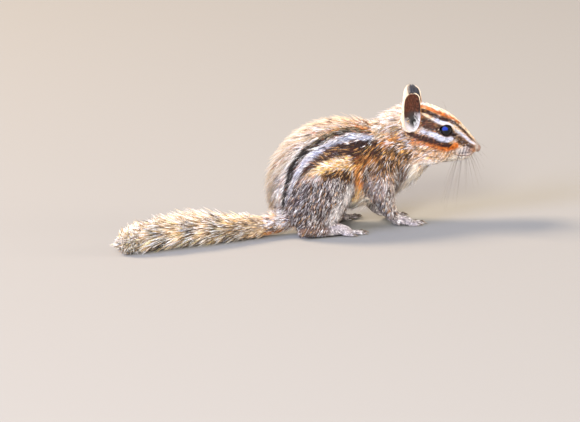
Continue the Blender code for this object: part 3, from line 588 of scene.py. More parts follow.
# How far round the trunk the haunch's own coat starts: distance along the spine, degrees
HAUNCH_EDGE = [(8, 57), (18, 59), (26, 63), (34, 68), (44, 72)]

# The dark edge over and before the haunch, and the pale fringe low at its front: ahead, out, up
KNEE_DARK = [(13.4, 19.1, 28.6), (18.5, 18.5, 29.0), (22.2, 17.6, 28.2), (24.7, 16.8, 25.4),
             (25.5, 16.2, 22.0)]
KNEE_PALE = [(25.0, 15.5, 20.5), (22.4, 16.6, 15.5), (18.8, 18.2, 11.5), (15.5, 18.8, 8.0)]

# The lines of the face in the head's frame: forward, out, up
BROW_WHITE = [(10.6, 7.8, 48.6), (12.3, 7.7, 47.6), (15.8, 7.5, 46.4), (18.3, 6.5, 44.7),
              (19.7, 5.7, 42.5), (22.9, 4.5, 40.0), (25.5, 3.7, 37.2), (27.4, 2.6, 35.6)]
BROW_DARK = [(4, 5.4, 53.0), (7.6, 6.3, 51.7), (11, 6.6, 50.1), (14.8, 6.2, 48.5), (18.3, 5.7, 46.8),
             (21.2, 3.7, 44.3), (23.8, 3.1, 41.2), (26.2, 2.4, 38.0), (27.9, 1.5, 35.8)]
CROWN_ORANGE = [(4, 3, 54.8), (9.2, 4.4, 52.6), (12.8, 4.3, 51), (17.2, 3.4, 48.6), (20.6, 1.8, 46.1)]
EYE_LINE_REAR = [(3.0, 7.9, 48.9), (6.3, 9.5, 47.3), (9.0, 9.9, 45.7), (11.6, 9.5, 44.5)]
EYE_LINE_FRONT = [(17.4, 7.4, 41.6), (19.3, 6.8, 39.9), (21.8, 5.8, 37.7), (24.4, 4.8, 35.3),
                  (26.6, 4.1, 33.7)]
EYE_CORNERS = [(10.2, 9.4, 44.7), (11.6, 8.9, 44.4), (14.6, 9.0, 43.3), (17.0, 7.9, 42.1),
               (18.6, 7.2, 40.6)]
UNDER_WHITE = [(0.2, 9.6, 44.9), (3, 10.2, 44.2), (6.1, 10.7, 43.1), (9.2, 10.5, 42), (11.9, 10, 40.3),
               (15.3, 8.8, 39.1), (17.2, 7.8, 39.2)]
CHEEK_DARK = [(-2.6, 9.6, 44.2), (0.1, 10.7, 42.4), (3.7, 10.9, 40.8), (7.7, 10.7, 39.4),
              (12.2, 9.7, 37.7), (15.6, 8.4, 36.7)]
CHEEK_RUST = [(-0.6, 10.7, 39.8), (3.5, 10.8, 38.8), (8.1, 10.5, 37.5), (12.1, 9.5, 35.9),
              (15.6, 8.1, 35.0), (18.8, 7.1, 35.6)]
NECK_PALE = [(-7.3, 10.1, 43.6), (-5.5, 10.7, 41.8), (-3.8, 10.9, 39.4), (-2.1, 10.7, 36.9)]

# Tones of the coat. Some carry painted light: the pale cream of the back and the crown is partly painted
# rim light on a greyer, browner coat, and the bluish cast of the whites and the lilac cast of the haunch
# and the feet are painted blue shade.
PELT = {name: linear(tone) for name, tone in {
    "back": "#FFF3E2", "back_fore": "#C48C58", "median": "#7A4E34", "streak": "#9C5C3C",
    "dark": "#1B110F", "brown": "#43251A", "amber": "#C06A22", "white": "#D8DCEE",
    "stripe_white_and_painted_blue_shade": "#B0B4C6", "flank": "#C87E3A", "flank_top": "#6E3818",
    "flank_low": "#F2C891", "belly": "#F6E2CC", "shoulder": "#684028", "neck": "#86603E",
    "nape": "#BCA07A", "nape_edge": "#C87A30", "thigh": "#604C4E", "thigh_top": "#FBC978",
    "thigh_pink": "#EFD3C0", "thigh_low": "#6E5444", "knee": "#E4DCDC", "foreleg": "#A8908A",
    "foot": "#B4ABAE", "tail_top": "#C6B09C", "tail_low": "#4A3830", "tail_rust": "#C87A3A",
    "crown": "#FFE0B4", "crown_orange": "#C86200", "cheek": "#DCAC7E", "rust": "#C46210",
    "face_brown": "#42241A", "muzzle": "#7A5440", "chin": "#F6E2CE", "nose_end": "#A99C94",
    "pad": "#F0E0D8", "pad_front": "#B0703C", "ear_back": "#2E2E33", "ear_pale": "#DCCAB2",
    "ear_skin": "#361A0D", "guard": "#E8CE9E", "tick_dark": "#140C0A", "tick_pale": "#FFF8F2",
    "tick_gold": "#E8AC62", "tick_rust": "#A8582C",
}.items()}
TICKS = ("tick_dark", "tick_pale", "tick_gold", "tick_rust")


def spine_place(points):
    """Distance along the trunk from the tail, angle from the top in degrees, distance out."""
    gap = ((points[:, None, :] - SPINE_LINE[None]) ** 2).sum(2)
    best = gap.argmin(1)
    reach = points - SPINE_LINE[best]
    run = SPINE_RUN[best] + dot(reach, SPINE_AHEAD[best])
    side, up = dot(reach, SPINE_SIDE[best]), dot(reach, SPINE_UP[best])
    return run, np.degrees(np.arctan2(side, up)), np.hypot(side, up)


def line_gap(points, line):
    """How far points, with their side dropped, lie from a drawn line, in mm."""
    line = smooth_rows(line, 3)
    p = np.stack([points[:, 0], abs(points[:, 1]), points[:, 2]], 1)
    best = np.full(len(p), 1e9)
    for a, b in zip(line[:-1], line[1:]):
        along = b - a
        t = np.clip((p - a) @ along / (along @ along), 0, 1)
        best = np.minimum(best, np.linalg.norm(p - a - t[:, None] * along, axis=1))
    return best


def wobble(points, size, seed):
    """A smooth random number from -1 to 1 that changes over about size mm."""
    draw = np.random.default_rng(seed)
    total = np.zeros(len(points))
    for _ in range(6):
        way = unit(draw.normal(size=3)) * draw.uniform(0.6, 1.6) * 2 * math.pi / (size * 2)
        total += np.sin(points @ way + draw.uniform(0, 2 * math.pi))
    return np.clip(total / 3.2, -1, 1)


class Markings:
    """The coat's colour at points, and the shares of its hairs that the dark, pale, gold and
    rust ticks tip, painted one mark over another."""

    def __init__(self, points, normals, shares):
        self.points, self.normals, self.head = points, normals, to_head(points)
        self.colour = np.zeros((len(points), 3))
        self.ticks = np.zeros((len(points), len(TICKS)))
        self.run, self.angle, self.out = spine_place(points)
        self.turn = abs(self.angle)
        self.arc = np.radians(1) * self.out
        self.ragged = wobble(points, 2.2, 3) * 0.3 + wobble(points, 0.9, 4) * 0.25
        share = self.share = dict(zip(KINDS, shares.T))
        haunch_edge = columns_at(self.run, HAUNCH_EDGE)[:, 0]
        self.haunch = ramp(share["thigh"], 0.25, 0.7) * ramp(self.turn, haunch_edge, haunch_edge + 7)
        trunk = (1 - share["head"]) * fade(share["foreleg"], 0.3, 0.7)
        self.trunk = trunk * (1 - 0.95 * self.haunch)
        self.face = ramp(share["head"], 0.35, 0.8)

    def paint(self, name, amount, tick):
        amount = np.clip(amount, 0, 1)[:, None]
        full = np.zeros(len(TICKS))
        full[:len(tick)] = tick
        self.colour = mix(self.colour, PELT[name], amount)
        self.ticks = mix(self.ticks, full, amount)

    def stripe(self, rows, name, tick, soft=0.7):
        """A stripe of the back: rows of distance along the spine, angle and half width."""
        rows = np.array(rows, float)
        first, last = rows[0, 0], rows[-1, 0]
        middle = np.interp(self.run, rows[:, 0], rows[:, 1])
        half = np.interp(self.run, rows[:, 0], rows[:, 2], right=0)
        gap = abs(self.turn - middle) * self.arc + self.ragged
        ends = ramp(self.run, first - 4, first + 3) * fade(self.run, last - 2, last + 1)
        self.paint(name, fade(gap, half - soft * 0.5, half + soft) * ends * self.trunk, tick)

    def line(self, rows, name, half, soft, tick, strength=1.0):
        """A line of the face. half is its half width, or rows of that by distance ahead."""
        if isinstance(half, list):
            half = columns_at(self.head[:, 0], half)[:, 0]
        gap = line_gap(self.head, rows) + self.ragged * 0.5
        share = fade(gap, half - soft / 2, half + soft / 2)
        self.paint(name, share * self.face * strength, tick)


def mark_trunk(on):
    """A pale golden back between the stripes, its cream partly painted rim light, an orange-brown flank and
    a cream belly.
    """
    points, run, turn, arc = on.points, on.run, on.turn, on.arc
    # The back's pale cream is partly painted rim light: the coat under it is greyer and browner.
    on.paint("back", np.ones(len(run)), (0.02, 0.48, 0.03, 0.1))
    on.paint("back_fore", ramp(run, 28, 44) * 0.75, (0.05, 0.3, 0.15, 0.24))
    on.paint("median", fade(turn * arc + on.ragged, 0.9, 1.9) * 0.8, (0.3, 0.08, 0.1, 0.25))
    along = wobble(np.stack([run * 0.12, on.angle * arc, on.out * 0], 1), 1.3, 13)
    depth = (0.25 * ramp(run, -10, 4) + 0.45 * ramp(run, 8, 26)) * fade(run, 50, 60)
    on.paint("streak", ramp(along, 0.05, 0.4) * depth, (0.16, 0.2, 0.08, 0.4))
    on.paint("flank", ramp(turn, 58, 66), (0.2, 0.06, 0.3))
    on.paint("flank_top", ramp(turn, 56, 62) * fade(turn, 76, 96), (0.34, 0.03, 0.2))
    on.paint("shoulder", ramp(run, 43, 50) * ramp(turn, 84, 98), (0.48, 0.1, 0.24))
    on.paint("shoulder", ramp(run, 50, 58) * ramp(turn, 46, 64), (0.48, 0.12, 0.24))
    on.paint("flank_low", ramp(turn + wobble(points, 4, 9) * 6, 122, 140), (0.12, 0.25, 0.3))
    on.paint("belly", ramp(turn + wobble(points, 5, 8) * 5, 140, 158), (0.0, 0.3, 0.0))
    on.stripe(INNER_AMBER, "amber", (0.2, 0.15, 0.25), 1.4)
    on.stripe(INNER_DARK, "dark", (0.0, 0.05, 0.0, 0.03), 0.9)
    on.stripe(OUTER_DARK, "brown", (0.3, 0.03, 0.07), 1.6)
    # The white stripe's bluish cast is painted blue shade; the white itself is the coat's own.
    on.stripe(WHITE, "stripe_white_and_painted_blue_shade", (0.2, 0.3, 0.0))
    # The haunch's tone, with its lilac cast of painted blue shade, reaches onto the rump.
    on.paint("thigh", on.trunk * fade(run, 8, 27) * ramp(turn, 47, 56) * 0.62, (0.34, 0.42, 0.03))


def mark_neck(on):
    """A ticked brown neck, with a pale nape edged in orange."""
    turn, neck = on.turn, ramp(on.share["neck"], 0.15, 0.75)
    on.paint("neck", neck, (0.42, 0.12, 0.26))
    on.paint("nape_edge", neck * ramp(turn, 48, 60) * fade(turn, 70, 84), (0.2, 0.2, 0.3))
    on.paint("nape", neck * fade(turn, 46, 66), (0.05, 0.4, 0.04, 0.06))
    on.paint("belly", neck * ramp(turn, 128, 146), (0.0, 0.3, 0.0))


def mark_legs(on):
    """Grey ticked haunches that are gold along the top, grey-brown forelegs and pale feet; the lilac cast
    of the haunches and the feet is painted blue shade.
    """
    points, thigh, ragged, share = on.points, on.haunch, on.ragged, on.share
    forward, height = points[:, 0], points[:, 2]
    # The haunch's lilac cast is painted blue shade over its own grizzled grey.
    on.paint("thigh", thigh, (0.42, 0.3, 0.06))
    on.paint("thigh_low", thigh * fade(height + ragged * 3, 7, 15) * 0.85, (0.42, 0.24, 0.08))
    on.paint("knee", thigh * ramp(forward, 3, -1) * ramp(height, 22, 28) * 0.5, (0.2, 0.5, 0.1))
    pink = ramp(height + ragged * 2, 25, 29) * fade(forward, 12, 20)
    on.paint("thigh_pink", thigh * pink * 0.7, (0.12, 0.45, 0.1, 0.12))
    top = ramp(height + ragged * 3 + 0.1 * abs(forward - 16), 29.6, 32.0)
    on.paint("thigh_top", thigh * top, (0.04, 0.4, 0.4))
    on.paint("brown", thigh * fade(line_gap(points, KNEE_DARK), 1.4, 3.0), (0.4, 0.05, 0.14))
    on.paint("knee", thigh * fade(line_gap(points, KNEE_PALE), 1.5, 5.0) * 0.9, (0.2, 0.45, 0.02))
    foreleg = ramp(share["foreleg"], 0.3, 0.75)
    on.paint("foreleg", foreleg, (0.28, 0.36, 0.06))
    on.paint("shoulder", foreleg * ramp(height, 18, 30), (0.42, 0.16, 0.24))
    front = ramp(on.normals[:, 0], 0.8, 1.0) * fade(height, 20, 28)
    on.paint("belly", foreleg * front * 0.8, (0.06, 0.4, 0.0))
    # The feet's lilac-grey is painted blue shade over their own pale buff-grey.
    for part in ("forepaw", "hind_foot"):
        on.paint("foot", ramp(share[part], 0.2, 0.7), (0.12, 0.3, 0.0))


def mark_tail_root(on):
    """Grey-cream above, a dark band along each side and rust under it."""
    root, tilt = ramp(on.share["tail_base"] + on.share["tail"], 0.3, 0.8), on.normals[:, 2]
    on.paint("tail_top", root, (0.24, 0.34, 0.14, 0.1))
    on.paint("tail_low", root * fade(tilt, -0.5, 0.3) * 0.85, (0.3, 0.16, 0.2))
    on.paint("tail_rust", root * fade(tilt, -0.85, -0.45), (0.1, 0.1, 0.2))


def mark_head(on):
    """A tawny head with an orange crown, white and brown lines and a rust cheek line. The pale cream of the
    crown and the bridge is partly painted rim light, and the whites' bluish cast is painted blue shade.
    """
    head, face = on.head, on.face
    ahead, side, up = head[:, 0], abs(head[:, 1]), head[:, 2]
    on.paint("cheek", face, (0.12, 0.3, 0.14))
    on.paint("neck", face * fade(ahead, -5, 3) * ramp(up, 30, 37), (0.4, 0.12, 0.3))
    on.paint("nape", face * fade(ahead, -5, 0) * ramp(up, 42, 46), (0.05, 0.4, 0.04, 0.06))
    # The crown's pale cream, and below it the bridge's, is partly painted rim light.
    crown = ramp(up - 0.55 * (14 - ahead), 42.5, 45.0) * (ahead < 22)
    on.paint("crown", face * crown, (0.04, 0.4, 0.12, 0.16))
    bridge = ramp(ahead, 16, 20) * fade(side, 2.2, 3.2) * ramp(up, 36, 40)
    on.paint("crown", face * bridge, (0.12, 0.4, 0.1, 0.1))
    on.paint("chin", face * fade(up + ahead * 0.02, 28.6, 31.2), (0.0, 0.2, 0.0))
    on.paint("chin", face * ramp(ahead, 14, 18) * fade(up, 30.5, 32.0), (0.0, 0.2, 0.0))
    on.line(CROWN_ORANGE, "crown_orange", 1.4, 1.5, (0.1, 0.03, 0.16, 0.04), 0.96)
    on.line(EYE_LINE_REAR, "face_brown", 2.8, 1.5, (0.3, 0.03, 0.08, 0.1), 0.95)
    on.paint("muzzle", face * fade(line_gap(head, EYE_LINE_FRONT), 1.2, 2.8), (0.3, 0.12, 0.2))
    on.line(EYE_LINE_FRONT, "face_brown", 1.2, 1.4, (0.3, 0.1, 0.06), 0.9)
    rust = np.interp(ahead, (0, 8, 13), (0.6, 0.9, 1.0))
    on.line(CHEEK_RUST, "rust", 1.6, 1.6, (0.1, 0.0, 0.12), rust)
    on.line(CHEEK_DARK, "face_brown", 1.45, 1.0, (0.4, 0.0, 0.03, 0.08))
    # The bluish cast of the face's whites is painted blue shade; the white itself is the coat's own.
    on.line(NECK_PALE, "white", 0.7, 1.8, (0.2, 0.3, 0.0), 0.6)
    on.line(BROW_DARK, "face_brown", [(5, 1.35), (18, 1.2), (24, 0.9), (28, 0.6)], 0.9, (0.35, 0.05, 0.08))
    on.line(UNDER_WHITE, "white", [(0, 0.8), (7, 0.95), (12, 1.4), (16, 1.2), (18, 0.9)], 0.9,
            (0.06, 0.2, 0.0))
    brow = [(8, 1.1), (13, 1.05), (16, 0.7), (19, 0.45), (22, 0.75), (26, 0.55)]
    on.line(BROW_WHITE, "white", brow, 0.8, (0.1, 0.2, 0.0))
    corners = [(12, 0.45), (16, 0.45), (17, 0.85), (19, 0.7)]
    on.line(EYE_CORNERS, "dark", corners, 0.7, (0.0, 0.0, 0.0), 0.9)
    pad = np.linalg.norm((head * (1, 0, 1) - (22.4, 0, 32.6)) / (4.2, 1, 2.2), axis=1)
    on.paint("pad", face * fade(pad, 0.7, 1.15) * (up < 36), (0.05, 0.2, 0.0))
    front = ramp(ahead, 22.5, 25.5) * ramp(up, 30.5, 32.5) * fade(up, 33.5, 34.5)
    on.paint("pad_front", face * front * 0.7, (0.25, 0.1, 0.1))
    on.paint("nose_end", face * ramp(ahead, 27.0, 28.6), (0.0, 0.1, 0.0))
    for spot in WHISKER_ROOTS:
        root = fade(np.linalg.norm((head - spot) * (1, 0, 1), axis=1), 0.2, 0.5)
        on.paint("dark", root * face * 0.85 * (side > 2), (0, 0, 0))
    for eye_side, _ in SIDES:
        ring = fade(np.linalg.norm(head - EYE * (1, eye_side, 1), axis=1), 3.5, 3.9)
        on.paint("dark", ring * 0.85, (0.0, 0.0, 0.0))


def pelt(points, normals, shares):
    """The coat's own colour at points, with the share of its hairs that each tick colour tips."""
    on = Markings(points, normals, shares)
    for mark in (mark_trunk, mark_neck, mark_legs, mark_tail_root, mark_head):
        mark(on)
    return on.colour, on.ticks


# Coat

MOST_TRIANGLES = 199000  # in one piece of the coat


def roots_on(skin, draw):
    """Random roots over the skin, as many as its coat has: the values of the skin at each."""
    tri = halved(skin["quads"])
    a, b, c = (skin["outer"][tri[:, k]] for k in range(3))
    area = np.linalg.norm(np.cross(b - a, c - a), axis=1) / 2
    total = np.cumsum(area * skin["dense"][tri].mean(1) * 0.96)
    count = int(total[-1])
    spots = (np.arange(count) + draw.uniform(size=count)) * total[-1] / count
    chosen = tri[np.minimum(np.searchsorted(total, spots), len(tri) - 1)]
    u, v = draw.uniform(size=(2, len(chosen)))
    over = u + v > 1
    u[over], v[over] = 1 - u[over], 1 - v[over]
    share = np.stack([1 - u - v, u, v], 1)
    found = {}
    for key in ("inner", "outer", "normal", "way", "depth", "length", "width", "shares", "eye_gap"):
        value = skin[key][chosen]
        found[key] = (value * share.reshape(share.shape + (1,) * (value.ndim - 2))).sum(1)
    found["normal"], found["way"] = unit(found["normal"]), unit(found["way"])
    return found


def pick(found, keep):
    """Some of the rows of each of a set of arrays."""
    return {key: value[keep] for key, value in found.items()}


def clumped(root, tip, every, pull):
    """Tips drawn towards the tip of a leading hair near by, so that the coat parts in locks."""
    leaders = np.arange(0, len(root), every)
    tree = KDTree(len(leaders))
    for k, i in enumerate(leaders):
        tree.insert(root[i], k)
    tree.balance()
    mine = leaders[np.array([tree.find(p)[1] for p in root])]
    target = tip[mine] + (root - root[mine]) * 0.3
    return tip + (target - tip) * pull[:, None], mine


def strands(hairs, rings):
    """Three-sided tapered strands: points, triangles and colours, and one strand's own faces."""
    base, middle, tip = hairs["base"], hairs["middle"], hairs["tip"]
    levels, shades = [], []
    for t in np.linspace(0, 1, rings + 1)[:-1]:
        centre = (1 - t) ** 2 * base + 2 * t * (1 - t) * middle + t * t * tip
        ahead = unit(2 * (1 - t) * (middle - base) + 2 * t * (tip - middle))
        side = unit(np.cross(ahead, hairs["normal"]))
        up = np.cross(side, ahead)
        half = hairs["width"] * 0.5 * (0.8 + 0.7 * t) * (1 - 0.75 * t * t)
        ring = [centre + side * (half * math.cos(a))[:, None] + up * (half * 0.7 * math.sin(a))[:, None]
                for a in np.radians((90.0, 210.0, 330.0))]
        levels.append(np.stack(ring, 1))
        low, high = np.clip((1 - t / 0.55, (t - 0.55) / 0.45), 0, 1)
        tone = (hairs["root_tone"] * low + hairs["tip_tone"] * high
                + hairs["middle_tone"] * (1 - low - high))
        shades.append(np.repeat(tone[:, None], 3, 1))
    points = np.concatenate([*levels, tip[:, None]], 1)
    shades = np.concatenate([*shades, hairs["tip_tone"][:, None]], 1)
    each = 3 * rings + 1
    faces = []
    for level in range(rings):
        for k in range(3):
            a, b = 3 * level + k, 3 * level + (k + 1) % 3
            faces += [(a, b, b + 3), (a, b + 3, a + 3)] if level < rings - 1 else [(a, b, each - 1)]
    faces = np.array(faces)
    triangles = (faces[None] + np.arange(len(base))[:, None, None] * each).reshape(-1, 3)
    return points.reshape(-1, 3), triangles, shades.reshape(-1, 3), faces


def bake_map(spot, faces, rings):
    """Each strand as a patch 0.003 across at its root's place on the unwrap of its piece."""
    u = np.array([0.0, 0.5, 1.0] * rings + [0.5])
    v = np.repeat(np.linspace(0, 1, rings + 1), [3] * rings + [1])
    patch = np.stack([u, v], 1)[faces].reshape(-1, 2) * 0.003
    return (spot[:, None] + patch[None]).reshape(-1, 2)


def lay_coat(name, hairs, spot, rings=2):
    """The hairs as one or more pieces, each with fewer triangles than MOST_TRIANGLES."""
    for key in ("middle", "tip"):
        hairs[key][:, 2] = np.maximum(hairs[key][:, 2], HAIR_OFF_FLOOR)
    low, high = spot.min(0), spot.max(0)
    spot = 0.01 + (spot - low) / (high - low) * 0.975
    parts = math.ceil(len(spot) * (6 * (rings - 1) + 3) / MOST_TRIANGLES)
    for k, chosen in enumerate(np.array_split(np.argsort(spot[:, 0]), parts)):
        points, triangles, shades, faces = strands(pick(hairs, chosen), rings)
        label = f"{name}_{k + 1}" if parts > 1 else name
        mesh_piece(label, points, triangles, COAT_FUR, shades, bake_map(spot[chosen], faces, rings))


def hair_tones(colour, ticks, draw, mine, together):
    """Root, middle and tip colours of hairs: dark at the root, partly the hair's own slate root and partly
    painted shade deep in the coat, and here and there ticked.
    together is the chance that a hair is ticked as its clump's leader is."""
    n = len(colour)
    tuft = np.random.default_rng(5)
    calm = 1 - 0.25 * ramp(colour.mean(1), 0.35, 0.85)
    clump = tuft.normal(0, 0.42, n)[mine]
    light = np.clip(1 + (clump + draw.normal(0, 0.24, n)) * calm, 0.25, 2.1)[:, None]
    base = colour * light
    as_tuft = draw.uniform(size=n) < together
    luck = np.where(as_tuft, tuft.uniform(size=n)[mine], draw.uniform(size=n))
    middle, tip = base * 0.85, base * 1.2
    # The roots are darkened, partly their own slate colour and partly painted shade deep in the coat, less
    # so for pale hairs.
    root_pigment_and_painted_shade = 0.22 + 0.3 * ramp(colour.mean(1), 0.2, 0.75)[:, None]
    edge = np.cumsum(ticks, 1)
    for k, name in enumerate(TICKS):
        low = edge[:, k - 1] if k else 0
        hit = (luck >= low) & (luck < edge[:, k])
        tip[hit] = tip[hit] * 0.15 + PELT[name] * 0.85 * light[hit]
        middle[hit] = middle[hit] * 0.3 + PELT[name] * 0.7 * light[hit]
    return [np.clip(part, 0, 1) for part in (base * root_pigment_and_painted_shade, middle, tip)]


def ruff_and_throat(outer, normal):
    """How far a hair is one of the ruff behind the head, and of those under the throat."""
    ahead, _, up = to_head(outer).T
    ruff = ramp(ahead, -13, -7) * fade(ahead, -2.0, 0.5) * ramp(up, 45.5, 48.5)
    throat = (fade(up, 31, 35) * fade(ahead, 3, 10) * ramp(ahead, -20, -12)
              * ramp(-normal[:, 2], 0.0, 0.5))
    return ruff, throat


def body_roots(skin, draw):
    """Roots of the body's coat, with none under the soles, on the eyelids or on the nose pad."""
    found = roots_on(skin, draw)
    sole = (found["normal"][:, 2] < -0.55) & (found["inner"][:, 2] < 2.2)
    head = to_head(found["outer"])
    off_nose = np.linalg.norm((head - NOSE) / NOSE_RADII, axis=1) > 1.12
    off_eyes = found["eye_gap"] > EYE_RADIUS + 0.85
    return pick(found, ~sole & off_eyes & (off_nose | (head[:, 0] < 28.2)))


def coat_pieces(main, outer, run, angle):
    """The pieces of the body's coat: the name of each, which hairs are its own, and how far
    along and how far round its part of the animal each root is."""
    (x, y, z), head = outer.T, to_head(outer)
    pieces = [("head", (HEAD,), 0, head[:, 0], np.arctan2(head[:, 1], head[:, 2] - 40)),
              ("trunk", (NECK, TORSO), 0, run, angle),
              ("tail_root", (TAIL_ROOT, BRUSH), 0, x, np.arctan2(y, z - 5.5))]
    for side, label in SIDES:
        for name, kinds, ahead, aside in (("hind_leg", (THIGH, HIND_FOOT), 10 + 3 * (side + 1), 14),
                                          ("foreleg", (FORELEG, FOREPAW), 44 - 1.5 * (side + 1), 10)):
            pieces.append((f"{name}_{label}", kinds, side, z, np.arctan2(y - aside * side, x - ahead)))
    return [(f"coat_{name}", np.isin(main, kinds) & ((y * side > 0) | (side == 0)),
             np.stack([along, about], 1)) for name, kinds, side, along, about in pieces]


def grow_body_coat(skin):
    """The coat of head, trunk, legs and feet, each hair from the skin to the coat's surface."""
    draw = np.random.default_rng(21)
    found = body_roots(skin, draw)
    root, outer, normal = found["inner"], found["outer"], found["normal"]
    way, shares = found["way"], found["shares"]
    n = len(root)
    stray = wobble(root, 7, 1) * 0.22 + wobble(root, 2.5, 2) * 0.16 + draw.normal(0, 0.13, n)
    way = unit(way + np.cross(normal, way) * stray[:, None])
    # Guard hairs are longer and stand off the coat, most of all along the ridge of the back
    length = found["length"] * np.clip(draw.normal(1, 0.13, n), 0.6, 1.4)
    run_at, angle, _ = spine_place(outer)
    ridge = shares[:, TORSO] * fade(abs(angle), 22, 38)
    guard = draw.uniform(size=n) < (0.1 + 0.12 * ridge) * ramp(found["length"], 2.5, 4.5)
    length[guard] *= 1.5 + 0.25 * ridge[guard]
    ruff, throat = ruff_and_throat(outer, normal)
    length *= 1 + 0.5 * ruff + 0.25 * throat
    # A tip lands on the coat's surface as far along as its length allows, and is lifted off it
    run = np.sqrt(np.maximum(length**2 - found["depth"] ** 2, (0.6 * length) ** 2))
    tree = tree_of(skin["outer"], skin["quads"])
    landed = [tree.find_nearest(Vector(p))[:2] for p in outer + way * run[:, None]]
    tip, tip_normal = np.array(landed).transpose(1, 0, 2)
    lift = draw.normal(0, 0.14, n) * np.minimum(found["length"], 4) - 0.1
    lift[guard] += (draw.uniform(0.3, 3.2, guard.sum()) * (1 + 0.4 * ridge[guard])
                    * ramp(found["length"][guard], 2.5, 5.0))
    lift += ruff * draw.uniform(0.8, 3.8, n) + throat * draw.uniform(0.2, 2.4, n)
    crest = ramp(shares[:, THIGH], 0.2, 0.5) * ramp(outer[:, 2], 31, 34)
    lift += crest * draw.uniform(0.0, 1.6, n)
    tip = tip + tip_normal * lift[:, None] + way * (draw.normal(0, 0.05, n) * length)[:, None]
    shift = np.linalg.norm(tip - root, axis=1)
    tip = root + unit(tip - root) * np.minimum(shift, length * 1.15)[:, None]
    pull = 0.2 + 0.3 * ramp(found["length"], 1.6, 5.0)
    pull[guard] *= 0.3
    tip, mine = clumped(root, tip, 5, pull)
    middle = root + normal * (found["depth"] * 0.85)[:, None] + (tip - root) * 0.38

    # A hair shows most of its colour part way along, so it takes the marking there
    seen = outer + way * (length * np.where(shares[:, HEAD] > 0.5, 0.6, 0.5))[:, None]
    colour, ticks = pelt(seen, normal, shares)
    together = (0.84 - 0.4 * ramp(shares[:, (THIGH, FORELEG)].sum(1), 0.2, 0.6)
                - 0.34 * ramp(shares[:, HEAD], 0.3, 0.7))
    root_tone, middle_tone, tip_tone = hair_tones(colour, ticks, draw, mine, together)
    pale = (0.1 + 0.75 * ridge[guard])[:, None]
    tip_tone[guard] = np.clip(mix(tip_tone[guard], PELT["guard"], pale), 0, 1)
    middle_tone[guard] *= 1 - 0.7 * pale
    width = found["width"] * np.clip(draw.normal(1, 0.15, n), 0.6, 1.5)
    width[guard] *= 0.75 + 0.45 * ridge[guard]
    hairs = dict(base=root - normal * 0.15, middle=middle, tip=tip, normal=normal, width=width,
                 root_tone=root_tone, middle_tone=middle_tone, tip_tone=tip_tone)
    for name, chosen, spot in coat_pieces(shares.argmax(1), outer, run_at, angle):
        lay_coat(name, pick(hairs, chosen), spot[chosen])


# The brush's hairs, and how many make a tuft
TAIL_HAIR = dict(count=16500, length=12.0, width=0.32, tuft=4)
TAN, DARK, CREAM, RUST_UNDER = (linear(tone) for tone in ("#E8BE86", "#22140F", "#FFFAE4", "#B0723C"))


def tail_at(x):
    """The tail's axis, half width, half height and core radius at places along it."""
    return columns_at(x, TAIL[::-1]).T


